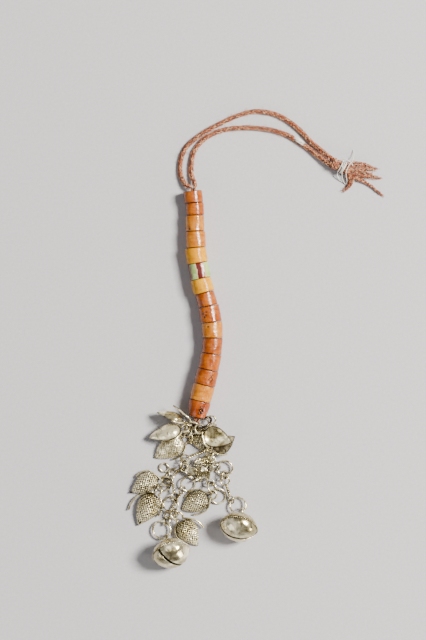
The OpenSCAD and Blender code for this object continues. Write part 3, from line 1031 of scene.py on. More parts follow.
@dataclass
class Bead(Part):
    """One wound glass bead on the doubled cord.

    Its own z axis is that of its bore. Each pit has its place across and along
    the bead and its size. The ends above and below are carried out by a reach
    and tilted, to meet the neighbours.
    """

    number: int
    x: float
    y: float
    lean: float
    wide: float
    long: float
    slot: Slot
    bore: float = 3.4
    edge: float = 0.3
    taper: float = 0.0
    above: Pair = (0.0, 0.0)
    below: Pair = (0.0, 0.0)
    pits: Sequence[Point] = ()
    cracks: Sequence[Sequence[Pair]] = ()
    crack_radius: float = 0.19
    sides: int = 72
    arc_steps: int = 6

    def turned_shape(self) -> Mesh:
        """The bead spun about its own z axis, its bore open.

        Returns:
            The shape.
        """
        half, r, b, e = self.long / 2, self.wide / 2, self.bore / 2, self.edge
        upper = [(b, half - 0.5), (b + 0.25, half - 0.08), (r - 1.5 * e, half)]
        for k in range(self.arc_steps + 1):
            a = pi / 2 * (1 - k / self.arc_steps)
            upper.append((r - e + e * cos(a), half - e + e * sin(a)))
        upper.append((r + 0.02, 0.3 * half))
        lower = [(x, -z) for x, z in reversed(upper)]
        return spun([lower[-1], (b, 0), *upper, *lower[:-1]], self.sides)

    def roughen_and_shade(self, bm: Mesh) -> None:
        """Makes the shape a little uneven, as wound glass is, and marks painted shade in
        the bore and at both ends, where the beads meet, and darker pits.

        Args:
            bm: The shape.
        """
        bore = self.bore / 2
        long_edges = [e for e in bm.edges if abs(e.verts[0].co.z - e.verts[1].co.z) > 0.8
                      and e.verts[0].co.xy.length > bore + 0.5]
        bmesh.ops.subdivide_edges(bm, edges=long_edges, cuts=7, use_grid_fill=True)
        recess = bm.verts.layers.float.new("recess")
        for v in bm.verts:
            reach, tilt = self.below if v.co.z > 0 else self.above
            end = v.co.z
            v.co.z += 2 * end / self.long * (reach - v.co.x * tilt)
            r = v.co.xy.length
            # Painted shade inside the bore.
            if r < bore + 0.3:
                v[recess] = 1.0
                continue
            # Painted shade towards both ends, where the beads meet.
            v[recess] = 0.6 * max(0.0, 1 - (self.long / 2 - abs(end)) / 0.35)
            push = noise(v.co * 0.35 + Vector((self.number * 3.7, 0, 0))) * 0.16
            push += noise(v.co * 1.3 + Vector((0, self.number * 5.1, 0))) * 0.05
            push -= self.taper * max(0.0, v.co.z / self.long + 0.5) ** 2
            for x, z, size in self.pits:
                gap = hypot(v.co.x - x, v.co.z - z) / size
                if v.co.y > 0 and gap < 1:
                    push -= size * 0.7 * (1 - gap ** 2)
                    v[recess] = min(1.0, v[recess] + 1.6 * (1 - gap))
            v.co.xy *= (r + push - 0.08) / r

    def marks(self) -> list[Wire]:
        """Thin dark cracks that lie in the bead's upper surface.

        Returns:
            The cracks, as the bead's own z axis stands.
        """
        out = []
        for crack in self.cracks:
            line = smooth([(x, 0, z) for x, z in crack], 4)
            for q in line:
                q.y = sqrt(max((self.wide / 2 - 0.1) ** 2 - q.x ** 2, 0.1))
            out.append(Wire(line, self.crack_radius))
        return out

    def build(self) -> None:
        """Makes the bead where it lies."""
        middle = (self.x, self.y, self.wide / 2)
        place = turned(middle, self.lean) @ turn("X", 90)
        bm = self.turned_shape()
        self.roughen_and_shade(bm)
        bead = shaped(f"glass_bead_{self.number}", bm, place)
        green = self.slot is Slot.BEAD_GREEN
        glass = self.palette.striped(middle, self.lean) if green else None
        self.finish(bead, self.slot, f"bead_{self.number}", material=glass)
        if self.cracks:
            crack = wires(f"bead_{self.number}_cracks", self.marks(), 1, place)
            self.finish(crack, self.slot, material=self.palette.stain)


@dataclass
class BareStretch(Part):
    """White yarn that shows where the inner cord's cover is worn through."""

    yarns: Sequence[Sequence[Point]]
    thick: float = 0.42

    def build(self) -> None:
        """Makes the bare yarns one piece."""
        parts = []
        for line in (smooth(yarn, 6) for yarn in self.yarns):
            taper = [self.thick * (0.35 + 0.65 * sin(pi * i / (len(line) - 1)))
                     for i in range(len(line))]
            parts.append(Wire(line, taper))
        self.finish(wires("bare_yarn", parts, 1), Slot.THREAD)


@dataclass
class BeadString:
    """The doubled cord, its beads, its tassel and its binding."""

    cords: Sequence[BraidedCord]
    tassel: Tassel
    binding: BindingThread
    bare: BareStretch
    knot: BraidedCord
    beads: Sequence[Bead]

    def build(self) -> None:
        """Makes every piece; the tassel and the binding are made first and passed to the
        first cord's build.
        """
        self.cords[0].build((self.tassel.build(), self.binding.build()))
        for part in (*self.cords[1:], self.bare, self.knot, *self.beads):
            part.build()


# ---------------------------------------------------------------- metal


@dataclass
class JumpRing(Part):
    """A ring of round wire with its ends nearly closed."""

    name: str
    at: Point
    heading: float
    roll: float
    radius: float
    wire: float = 0.4
    gap: float = 5.0
    slot: Slot = Slot.WIRE
    points: int = 48

    def build(self) -> None:
        """Makes the ring where it lies."""
        seed = self.at[0] + 2 * self.at[1]
        arc = circle(self.radius, self.points, degrees(seed) % 360, 360 - self.gap,
                     0.018, seed)
        thick = [self.wire * (1 + 0.05 * sin(3 * i + seed)) for i in range(self.points)]
        ring = wires(self.name + "_wire_ring", [Wire(arc, thick)], 3,
                     turned(self.at, self.heading, 0, self.roll))
        self.finish(ring, self.slot, self.name + "_ring")


@dataclass
class TwistedLink(Part):
    """A wire doubled and twisted between two loops."""

    name: str
    at: Point
    heading: float
    pitch: float
    long: float
    loops: Pair
    rolls: Pair
    turns: int
    wire: float = 0.32

    def strand(self, phase: float) -> Route:
        """One of the two twisted wires, from loop to loop.

        Args:
            phase: Where it starts round the other one, in radians.

        Returns:
            The route.
        """
        count = 16 * self.turns
        span = self.long - sum(self.loops) + 0.5
        out: Route = []
        for i in range(count + 1):
            a = tau * self.turns * i / count + phase
            r = 0.94 * self.wire * (1 + 0.06 * sin(i * 0.7))
            out.append(Vector((self.loops[0] - 0.25 + span * i / count,
                               r * cos(a), r * sin(a))))
        return out

    def build(self) -> None:
        """Makes the link where it lies."""
        place = turned(self.at, self.heading, self.pitch)
        routes = [moved(place, self.strand(phase)) for phase in (0, pi)]
        for x, radius, roll, start in zip((0, self.long), self.loops, self.rolls, (8, 188)):
            spot = place @ Matrix.Translation((x, 0, 0)) @ turn("X", roll)
            routes.append(moved(spot, circle(radius, 36, start, 346, 0.02, x)))
        link = wires(self.name + "_twisted_link",
                     [Wire(route, self.wire) for route in routes])
        self.finish(link, Slot.TWISTED_WIRE, self.name + "_link")


class Stamp(Enum):
    """How a leaf's surface is worked: how dark it is between its dots, and how deep."""

    ROWS = (0.3, 1.0)
    WORN = (0.1, 0.4)
    SMOOTH = (-0.2, 0.0)


@dataclass
class Leaf(Part):
    """A hollow teardrop leaf that hangs from a wire eye with two legs.

    Each leg has its reach and how far its end stands off the leaf's edge.
    """

    number: int
    eye: Point
    heading: float
    pitch: float
    roll: float
    long: float
    wide: float
    deep: float
    legs: Pair
    off: Pair = (0.2, 0.2)
    shift: float = 0.0
    twist: float = 0.0
    stamp: Stamp = Stamp.ROWS
    # hollow sets the strength of the painted shade inside the concave side.
    hollow: float = 0.0
    painted_highlight: float = 0.0
    gap: float = 2.1
    eye_radius: float = 1.8
    wire: float = 0.38
    wall: float = 0.35
    dots: Pair = (0.62, 0.56)
    grid: tuple[int, int] = (128, 104)
    dot_height: float = 0.19
    sink: float = 0.12

    def edge(self, t: float) -> float:
        """Half-width along the leaf as a share of the widest, for t of 0 to pi."""
        return sin(t) * cos(t / 2) / 0.77

    def relief(self, x: float, arc: float, fade: float) -> float:
        """Height of the pressed dots.

        Args:
            x: Distance along the leaf.
            arc: Distance across, round the dome.
            fade: How strong they are there, of 0 to 1.

        Returns:
            The height, from -1 in a recess to 1 on a dot.
        """
        def cloud(scale: float, seed: float) -> float:
            """A soft noise over the leaf."""
            return noise((x * scale, arc * scale, self.number * seed))

        if self.stamp is Stamp.SMOOTH:
            return 0.25 * cloud(0.9, 1)
        wander = 0.8 * cloud(0.4, 2.3) + 0.45 * cloud(1.2, 5.9)
        a = pi * (x / self.dots[0] + wander)
        b = pi * (arc / self.dots[1] - wander)
        depth = self.stamp.value[1] * (1 + 0.9 * cloud(0.8, 3.7))
        return fade * depth * cos(a) * cos(b) + 0.3 * cloud(1.4, 1)

    def place(self) -> Matrix:
        """Where the leaf hangs."""
        return turned(self.eye, self.heading, self.pitch, self.roll)

    def dome(self) -> Piece:
        """The hollow leaf with its stamped surface.

        Returns:
            The dome.
        """
        bm = bmesh.new()
        bmesh.ops.create_grid(bm, x_segments=self.grid[0], y_segments=self.grid[1],
                              size=0.5)
        recess = bm.verts.layers.float.new("recess")
        raised = bm.verts.layers.float.new("raised")
        for v in bm.verts:
            t = pi * (v.co.x + 0.5)
            a = pi * (v.co.y + 0.5)
            e = max(self.edge(t), 0.0)
            x = self.long * (1 - cos(t)) / 2
            half = self.wide / 2 * e
            rise = self.deep * e ** 0.8
            fade = min(1.0, e * 2.2) * min(1.0, sin(a) * 2.5)
            bump = self.relief(x, (a - pi / 2) * (half + rise) / 2, fade)
            dent = 0.22 * noise((x * 0.3, cos(a) * e * 1.4, self.number * 7))
            lift = (self.dot_height * bump + dent * fade - self.sink) * min(1.0, e * 3)
            v.co = Vector((x, (half + lift) * cos(a), (rise + lift) * sin(a)))
            pit = max(0.0, self.stamp.value[0] - bump) * 1.1 * fade
            # Painted shade: darker along the edges, where the dome turns away from the
            # light.
            rim = 0.9 * (1 - min(1.0, min(sin(a), e) * 3.2))
            # Painted shade: darker towards the eye end.
            base = 0.8 * max(0.0, 0.45 - x / self.long)
            # Painted shade inside the concave side, as strong as hollow.
            inside = self.hollow * min(1.0, e * 1.4) * sin(a)
            v[recess] = min(1.0, pit + rim + base + inside)
            # Painted highlight: lighter towards the tip, and all over a leaf given a
            # painted highlight.
            tip_highlight = 2.4 * max(0.0, x / self.long - 0.55)
            v[raised] = min(1.0, max(0.0, bump - 0.15) * 1.8) * fade + tip_highlight + self.painted_highlight
        bmesh.ops.remove_doubles(bm, verts=bm.verts, dist=2 * WELD)
        give_wall(bm, self.wall)
        return shaped(f"leaf_{self.number}_shell", bm,
                      self.place() @ Matrix.Translation((self.gap, self.shift, 0)), False)

    def leg(self, side: int) -> list[Point]:
        """Points of one leg, from the eye along the leaf's edge.

        Args:
            side: 1 for the leg on the left as seen from the eye, -1 for the other.

        Returns:
            The points, in the leaf's own place.
        """
        reach, off = self.legs[side < 0], self.off[side < 0]
        out = [(self.gap - 0.1, side * 1.9 + 0.5 * self.shift, 0.0)]
        for i in range(5):
            x = 3.5 + (reach - 3.5) * i / 4
            s = min(max((x - self.gap) / self.long, 0), 1)
            half = self.wide / 2 * self.edge(acos(1 - 2 * s))
            out.append((x, self.shift + side * (half + 0.25 + off * i / 4), 0.0))
        return out

    def bent_wire(self) -> Route:
        """The wire: up one side, round the eye and down the other side."""
        eye = moved(turn("X", self.twist), circle(self.eye_radius, 9, 40, 280))
        return smooth([*reversed(self.leg(1)), *eye, *self.leg(-1)], 5)

    def build(self) -> None:
        """Makes the leaf and its wire one piece where it hangs."""
        wire = wires("leg_wire", [Wire(self.bent_wire(), self.wire)], 2, self.place())
        mark(wire, "raised", 0.1)
        leaf = joined(f"stamped_leaf_{self.number}", [self.dome(), wire])
        self.finish(leaf, Slot.LEAF, f"leaf_{self.number}")


@dataclass
class RoundBell(Part):
    """A round bell of two thin domes with a milled rim and one slit."""

    node: str
    at: Point
    tilt: float
    heading: float
    slit: float
    radius: float = 7.4
    half: float = 5.5
    rim: float = 7.9
    rim_thick: float = 0.8
    wall: float = 0.45
    slit_half: float = 0.6
    slit_top: float = -0.45
    teeth: int = 56
    sides: int = 128
    arc_steps: int = 32

    def domes(self) -> Mesh:
        """Both domes spun as one thin shell, with the slit cut in the lower one.

        Returns:
            The open shell.
        """
        arc = [radians(-90 + 180 * k / self.arc_steps) for k in range(self.arc_steps + 1)]
        bm = spun([(self.radius * cos(a), self.half * sin(a)) for a in arc],
                  self.sides, False)
        across = turn("Z", self.slit) @ Vector((0, 1, 0))
        for spot, normal in ((across * self.slit_half, across),
                             (across * -self.slit_half, across),
                             ((0, 0, self.slit_top), (0, 0, 1))):
            bmesh.ops.bisect_plane(bm, geom=bm.verts[:] + bm.edges[:] + bm.faces[:],
                                   plane_co=spot, plane_no=normal)
        opened = [f for f in bm.faces
                  if abs(f.calc_center_median().dot(across)) < self.slit_half
                  and f.calc_center_median().z < self.slit_top]
        bmesh.ops.delete(bm, geom=opened, context="FACES")
        return bm

    def dent(self, bm: Mesh) -> None:
        """Gives the thin domes soft dents and hammer marks.

        Args:
            bm: The domes.
        """
        raised = bm.verts.layers.float.new("raised")
        shift = Vector((self.at[0], 0, 0))
        for v in bm.verts:
            push = noise(v.co * 0.25 + shift) * 0.3 - 0.12
            push += noise(v.co * 0.9 + shift) * 0.07
            v.co += v.co.normalized() * push * min(1.0, abs(v.co.z) / 2)
            v[raised] = 0.4 * max(0.0, noise(v.co * 0.45 + shift))

    def milled_rim(self) -> Piece:
        """The rim where the domes meet, with a milled edge.

        Returns:
            The rim.
        """
        arc = [tau * k / 8 for k in range(8)]
        bm = spun([(self.rim - 0.75 + 0.7 * cos(a), self.rim_thick / 2 * sin(a))
                   for a in arc], 6 * self.teeth)
        recess = bm.verts.layers.float.new("recess")
        for v in bm.verts:
            r, a = v.co.xy.length, atan2(v.co.y, v.co.x)
            notch = 0.5 - 0.5 * cos(self.teeth * a)
            if r > self.rim - 0.8:
                v.co.xy *= (r - 0.22 * notch) / r
                v.co.z *= 1 - 0.35 * notch
                v[recess] = 0.7 * notch
        return shaped("rim", bm, self.place())

    def place(self) -> Matrix:
        """Where the bell lies."""
        return turned(self.at, self.heading) @ turn("Y", self.tilt)

    def build(self) -> None:
        """Makes the bell where it lies."""
        bm = self.domes()
        self.dent(bm)
        give_wall(bm, self.wall)
        bm.normal_update()
        recess = bm.verts.layers.float.new("recess")
        for v in bm.verts:
            # Painted shade: the inner wall is marked fully dark, and the outer wall darker
            # close to the rim.
            seam = 0.7 * max(0.0, 1 - abs(v.co.z) / 0.9)
            v[recess] = 1.0 if v.normal.dot(v.co) < 0 else seam
        shell = shaped("shell", bm, self.place(), False)
        spot = self.place() @ Matrix.Translation((0, 0, self.half + 1.5)) @ turn("X", 90)
        loop = wires("loop", [Wire(circle(1.8, 36, -84, 348), 0.45)], 2, spot)
        bell = joined("round_" + self.node, [shell, self.milled_rim(), loop])
        self.finish(bell, Slot.BELL, self.node)


@dataclass
class FiligreePlaque(Part):
    """A small openwork plaque: a sheet with curls, hatching and granules on it.

    Each hole has its middle and radius, each disc also how much wider than high
    it is, and each bar its middle, width and height. Each curl has its middle,
    radius, start, turns and thickness, and each row of granules its first one,
    the step to the next and their number.
    """

    at: Point
    roll: float
    thick: float = 0.7
    span: Pair = (16.4, 14.4)
    holes: Sequence[Point] = (
        (3.6, 0.1, 1.2), (-6.7, 0.2, 1.2), (3.7, -5.6, 1.2))
    discs: Sequence[Station] = (
        (1.4, 0.4, 3.2, 1.0), (-3.9, -1.1, 1.7, 1.5), (-6.7, 0.2, 1.7, 1.0),
        (-0.9, -4.1, 1.4, 1.0), (3.0, 2.4, 3.2, 1.0), (3.6, 0.4, 1.7, 1.0),
        (3.7, -5.6, 1.7, 1.0))
    bars: Sequence[Station] = (
        (-1.8, -1.4, 4.0, 2.4), (-5.6, -0.8, 2.6, 1.6), (0.4, -2.6, 2.6, 2.6),
        (2.8, -3.2, 2.0, 3.4))
    curls: Sequence[tuple[float, ...]] = (
        (-1.2, 3.2, 1.3, 200, 2.6, 0.3), (-0.9, -4.1, 1.1, 40, 2.2, 0.3),
        (1.2, -0.4, 1.2, 90, 2.4, 0.26))
    rows: Sequence[tuple[float, float, float, float, int]] = (
        (-2.6, 1.35, 0.75, -0.12, 5), (-1.9, -2.3, 0.8, -0.1, 4),
        (2.0, -1.7, 0.1, -0.8, 4))
    grid: tuple[int, int] = (130, 114)
    middle: Pair = (-0.8, -0.8)
    fan: Pair = (3.0, 2.4)
    oval: Station = (-3.9, -1.1, 2.2, 1.5)

    def place(self) -> Matrix:
        """Where the plaque lies."""
        return turned(self.at, 0, 0, self.roll)

    def depth(self, x: float, y: float) -> float:
        """Distance inside the sheet's outline, below zero outside it.

        Args:
            x: Place across.
            y: Place along.

        Returns:
            The distance.
        """
        best = -9.0
        for cx, cy, r, wide in self.discs:
            best = max(best, r - hypot((x - cx) / wide, y - cy))
        for cx, cy, w, h in self.bars:
            best = max(best, min(w / 2 - abs(x - cx), h / 2 - abs(y - cy)))
        for cx, cy, r in self.holes:
            best = min(best, hypot(x - cx, y - cy) - r)
        return best

    def sheet(self) -> Piece:
        """The sheet, cut from a fine grid and given its thickness.

        Returns:
            The sheet.
        """
        bm = bmesh.new()
        bmesh.ops.create_grid(bm, x_segments=self.grid[0], y_segments=self.grid[1],
                              size=0.5)
        bmesh.ops.scale(bm, vec=(*self.span, 1), verts=bm.verts)
        bmesh.ops.translate(bm, vec=(*self.middle, 0), verts=bm.verts)
        outside = [v for v in bm.verts if self.depth(*v.co.xy) < -0.05]
        bmesh.ops.delete(bm, geom=outside, context="VERTS")
        step = 0.02
        for v in (v for v in bm.verts if v.is_boundary):
            x, y = v.co.xy
            d = self.depth(x, y)
            slope = Vector((self.depth(x + step, y) - d, self.depth(x, y + step) - d))
            if slope.length > 0:
                v.co.xy -= slope.normalized() * min(max(d, -0.2), 0.2)
        give_wall(bm, self.thick - 0.1)
        bmesh.ops.translate(bm, vec=(0, 0, self.thick), verts=bm.verts)
        recess = bm.verts.layers.float.new("recess")
        for v in bm.verts:
            v[recess] = 0.75 * min(1.0, max(0.0, self.depth(*v.co.xy) * 1.5))
        return shaped("sheet", bm, self.place(), False)

    def spiral(self, x: float, y: float, radius: float, start: float,
               turns: float = 2.2) -> Route:
        """A flat spiral of wire that lies on the sheet.

        Args:
            x: Its middle across.
            y: Its middle along.
            radius: Radius of its outer end.
            start: Angle of its outer end, in degrees.
            turns: Number of turns.

        Returns:
            The route.
        """
        out: Route = []
        count = round(18 * turns)
        for i in range(count + 1):
            a = radians(start) + tau * turns * i / count
            r = radius * (1 - 0.82 * i / count)
            out.append(Vector((x + r * cos(a), y + r * sin(a), 0.82)))
        return out

    def wirework(self) -> list[Wire]:
        """The curls, the hatching, the ring round each hole and the loop.

        Returns:
            The wires, in the plaque's own place.
        """
        out = []
        x, y = self.fan
        for k in range(6):
            a, b = radians(15 + 32 * k), radians(-1 + 32 * k)
            out.append(Wire(self.spiral(x + 2.3 * cos(a), y + 2.3 * sin(a), 1.0,
                                        195 + 32 * k), 0.24))
            out.append(Wire([Vector((x + r * cos(b), y + r * sin(b), 0.84))
                             for r in (0.3, 1.2, 2.4)], 0.2))
        out += [Wire(self.spiral(*curl), thick) for *curl, thick in self.curls]
        cx, cy, wide, high = self.oval
        out.append(Wire([Vector((cx + wide * q.x, cy + high * q.y, 0.84))
                         for q in circle(1, 32)], 0.28, True))
        for k in range(7):
            x = -5.5 + 0.53 * k
            y = 1.35 * sqrt(max(0.0, 1 - ((x - cx) / wide) ** 2))
            out.append(Wire([Vector((x - 0.15, cy - y, 0.8)),
                             Vector((x + 0.15, cy + y, 0.8))], 0.17))
        for x, y, r in self.holes:
            ring = [Vector((x + q.x, y + q.y, 0.78)) for q in circle(r + 0.28, 28)]
            out.append(Wire(ring, 0.25, True))
        stand = turned((-2.4, -4.7, -0.2), 30) @ turn("X", 90)
        out.append(Wire(moved(stand, circle(1.3, 28)), 0.32, True))
        return out

    def granules(self) -> Piece:
        """Small balls soldered in rows.

        Returns:
            The balls.
        """
        bm = bmesh.new()
        spots = [(x + dx * i, y + dy * i) for x, y, dx, dy, count in self.rows
                 for i in range(count)]
        spots += [(0.2 + 0.7 * i, 1.5 + 0.15 * (i % 2)) for i in range(4)]
        for x, y in spots:
            bmesh.ops.create_icosphere(bm, subdivisions=2, radius=0.3,
                                       matrix=Matrix.Translation((x, y, 0.8)))
        return shaped("granules", bm, self.place())

    def build(self) -> None:
        """Makes the plaque where it lies."""
        plaque = joined("filigree_plaque", [
            self.sheet(), wires("wirework", self.wirework(), 2, self.place()),
            self.granules()])
        self.finish(plaque, Slot.FILIGREE, "plaque")


@dataclass
class Cluster(Part):
    """Everything of metal that hangs from the dark ring."""

    parts: Sequence[JumpRing | TwistedLink | Leaf | RoundBell | FiligreePlaque]
    loose_end: Sequence[Point]
    pellets: Sequence[str] = ("left_pellet", "right_pellet")

    def build(self) -> None:
        """Makes every metal piece and finishes the pellets in the bells."""
        for part in self.parts:
            part.build()
        end = wires("loose_wire_end", [Wire(smooth(self.loose_end), 0.34)])
        self.finish(end, Slot.WIRE)
        for node in self.pellets:
            pellet = bpy.data.objects[node]
            pellet.data.materials.clear()
            pellet.data.materials.append(self.palette.made[Slot.PELLET])
            log.info("%s: finished", node)


# ---------------------------------------------------------------- stage


@dataclass
class Light:
    """A square soft light: its place, its side, its power in watts, its colour."""

    name: str
    at: Point
    size: float
    power: float
    colour: Colour

    def build(self, target: Vector) -> None:
        """Hangs the light and aims it.

        Args:
            target: Where it points.
        """
        lamp = bpy.data.lights.new(self.name, "AREA")
        lamp.size, lamp.energy, lamp.color = self.size * MM, self.power, self.colour
        aim = target - Vector(self.at)
        in_scene(self.name, lamp).matrix_world = Matrix.Translation(
            Vector(self.at) * MM) @ aim.to_track_quat("-Z", "Y").to_matrix().to_4x4()


@dataclass
class Studio:
    """The camera above, a plain pale floor and soft light from the right."""

    middle: Pair = (8.2, 22.8)
    height: float = 1000.0
    frame_height: float = 256.0
    sensor: float = 24.0
    floor: Colour = shade(180, 177, 176)
    floor_half: float = 900.0
    room: Colour = (0.86, 0.85, 1.0, 1)
    room_strength: float = 0.12
    lights: Sequence[Light] = (
        Light("key", (930, 310, 1120), 400, 76.0, (1.0, 0.985, 0.955)),
        Light("side", (700, -500, 260), 260, 3.8, (1.0, 0.97, 0.92)),
        Light("top", (-150, 250, 1500), 500, 2.3, (0.96, 0.97, 1.0)),
        Light("left", (-620, -480, 460), 560, 2.6, (0.96, 0.97, 1.0)))

    def camera(self) -> None:
        """A camera straight above that takes in the photograph's frame."""
        lens = bpy.data.cameras.new("view")
        lens.sensor_fit = "VERTICAL"
        lens.sensor_height = self.sensor
        lens.lens = self.sensor * self.height / self.frame_height
        view = in_scene("view", lens)
        view.location = Vector((*self.middle, self.height)) * MM
        bpy.context.scene.camera = view

    def ground(self) -> None:
        """A floor with a faint mottle."""
        bm = bmesh.new()
        bmesh.ops.create_grid(bm, x_segments=1, y_segments=1, size=self.floor_half)
        floor = shaped("floor", bm)
        material, t, shader = new_material("pale_floor", self.floor)
        cloud = t.span(t.noise(t.spot(), 900.0, 5), 0.3, 0.7)
        r, g, b, _ = self.floor
        t.feed(shader, {
            "Base Color": t.mix(cloud, (r * 0.96, g * 0.95, b * 0.96, 1),
                                (r * 1.04, g * 1.04, b * 1.05, 1)),
            "Roughness": 0.95, "Specular IOR Level": 0.1})
        floor.data.materials.append(material)

    def build(self) -> None:
        """Sets the floor, the lights, the soft surroundings and the camera."""
        self.ground()
        for light in self.lights:
            light.build(Vector((*self.middle, 0)))
        world = bpy.data.worlds.new("soft_room")
        world.use_nodes = True
        room = world.node_tree.nodes["Background"]
        room.inputs["Color"].default_value = self.room
        room.inputs["Strength"].default_value = self.room_strength
        bpy.context.scene.world = world
        self.camera()


# ---------------------------------------------------------------- the pendant

OUTER: list[Point] = [
    (-1.2, 75.8, 3.1), (-3.2, 77.4, 1.9), (-4.8, 81.4, 1.1), (-4.6, 86.6, 1.1),
    (-2.6, 91.6, 1.1), (1.2, 95.2, 1.1), (5.6, 98.3, 1.1), (11.7, 101.5, 1.1),
    (17.8, 104.3, 1.1), (25.1, 106.2, 1.1), (32.6, 105.2, 1.1), (38.4, 102.3, 1.1),
    (43.2, 98.4, 1.1), (47.2, 94.2, 1.2), (51.4, 90.6, 1.6), (55.0, 87.6, 2.4),
    (56.6, 86.5, 2.8)]
INNER: list[Point] = [
    (1.0, 76.0, 3.4), (0.7, 77.8, 2.5), (-0.4, 81.2, 1.2), (-0.3, 86.2, 1.1),
    (1.1, 90.8, 1.1), (4.6, 94.9, 1.1), (9.6, 97.8, 1.1), (14.2, 99.1, 1.1),
    (18.8, 99.6, 1.1), (24.4, 99.6, 1.1), (30.8, 98.9, 1.1), (36.6, 97.3, 1.1),
    (41.8, 94.5, 1.1), (46.0, 91.6, 1.2), (49.9, 88.5, 1.7), (53.6, 85.8, 2.5),
    (55.7, 84.3, 2.8)]
CORD_TURN: list[Point] = [
    (1.0, -17.0, 4.0), (0.7, -17.7, 2.9), (0.4, -18.2, 2.0), (0.4, -18.9, 1.5),
    (1.0, -19.4, 1.2), (1.9, -19.5, 1.4), (2.4, -19.1, 2.0), (2.4, -18.4, 2.6),
    (2.3, -17.2, 3.6)]
CORD_TOP: list[Point] = [(-1.2, 75.8, 3.1), (-0.2, 75.0, 3.7)]
CORD_END: list[Point] = [(0.8, 75.0, 3.8), (1.0, 76.0, 3.4)]
CORD_OFFSET = 0.65
BEAD_HALF_GAP = 0.06


def beads() -> list[Bead]:
    """The fifteen beads, from the cord's end down.

    Returns:
        The beads.
    """
    orange, light, yellow = Slot.BEAD_ORANGE, Slot.BEAD_LIGHT, Slot.BEAD_YELLOW
    deep, brown = Slot.BEAD_DEEP, Slot.BEAD_BROWN
    return [
        Bead(1, 0.3, 71.9, 6, 7.6, 4.6, brown),
        Bead(2, 1.0, 67.0, 3, 7.2, 4.8, orange),
        Bead(3, 1.0, 61.3, 1, 7.5, 6.2, light, pits=[(-2.4, 2.2, 0.6)]),
        Bead(4, 1.3, 54.9, 3, 8.0, 6.2, light),
        Bead(5, 1.6, 48.5, 8, 8.4, 5.8, yellow),
        Bead(6, 2.8, 42.4, 11, 8.4, 5.8, Slot.BEAD_GREEN),
        Bead(7, 4.0, 36.5, 15, 8.4, 5.4, yellow),
        Bead(8, 5.6, 31.0, 16, 7.8, 5.2, orange),
        Bead(9, 7.0, 25.2, 10, 8.4, 6.0, orange,
             pits=[(-2.6, 0.9, 0.55), (-1.8, 0.1, 0.5), (-2.9, -0.5, 0.5),
                   (-1.5, -1.1, 0.45)]),
        Bead(10, 7.9, 18.8, 3, 8.4, 5.6, light, pits=[(-1.8, -1.4, 0.5)]),
        Bead(11, 7.9, 12.5, -5, 8.0, 5.8, brown),
        Bead(12, 6.9, 6.1, -11, 8.4, 6.0, orange),
        Bead(13, 5.5, -0.1, -14, 8.8, 5.8, brown,
             cracks=[[(2.2, -1.7), (1.8, -0.6), (1.1, 0.5)],
                     [(1.9, -0.8), (2.5, 0.1), (2.2, 1.5)]]),
        Bead(14, 3.9, -6.2, -15, 8.8, 6.2, light),
        Bead(15, 2.4, -12.8, -11, 8.8, 6.4, deep, taper=1.4, cracks=[
            [(0.6, -1.3), (1.5, -1.1), (1.1, -0.4), (0.4, -0.2), (1.0, 0.4)],
            [(1.6, -0.5), (2.0, 0.3), (1.3, 0.8), (1.7, 1.4)],
            [(0.4, 0.9), (0.9, 1.5), (1.8, 1.0)]])]


def fitted(strung: list[Bead]) -> list[Bead]:
    """Lets the ends of neighbouring beads reach and lean towards each other.

    Args:
        strung: The beads, in order.

    Returns:
        The same beads.
    """
    for one, two in zip(strung, strung[1:]):
        apart = dist((one.x, one.y), (two.x, two.y))
        reach = max(0.0, (apart - (one.long + two.long) / 2) / 2 - BEAD_HALF_GAP)
        tilt = tan(radians(two.lean - one.lean) / 2)
        one.below = two.above = (reach, tilt)
    return strung


def threaded(strung: Sequence[Bead], side: int) -> list[Point]:
    """Points of one of the two cords inside the beads.

    Args:
        strung: The beads.
        side: -1 for the left cord, 1 for the right one.

    Returns:
        The points.
    """
    off = side * CORD_OFFSET
    return [(b.x + off * cos(radians(b.lean)),
             b.y + off * sin(radians(b.lean)), b.wide / 2) for b in strung]


def knot_route() -> Route:
    """Turn of cord that ties the two strands together at the tassel's head.

    Returns:
        The route.
    """
    place = turned((56.2, 85.4, 2.95), -25)
    angles = [radians(200 + 30 * i) for i in range(15)]
    return [lifted(0.95, place @ Vector((-0.7 + 0.13 * i, 1.65 * cos(a),
                                         1.6 * sin(a))))
            for i, a in enumerate(angles)]


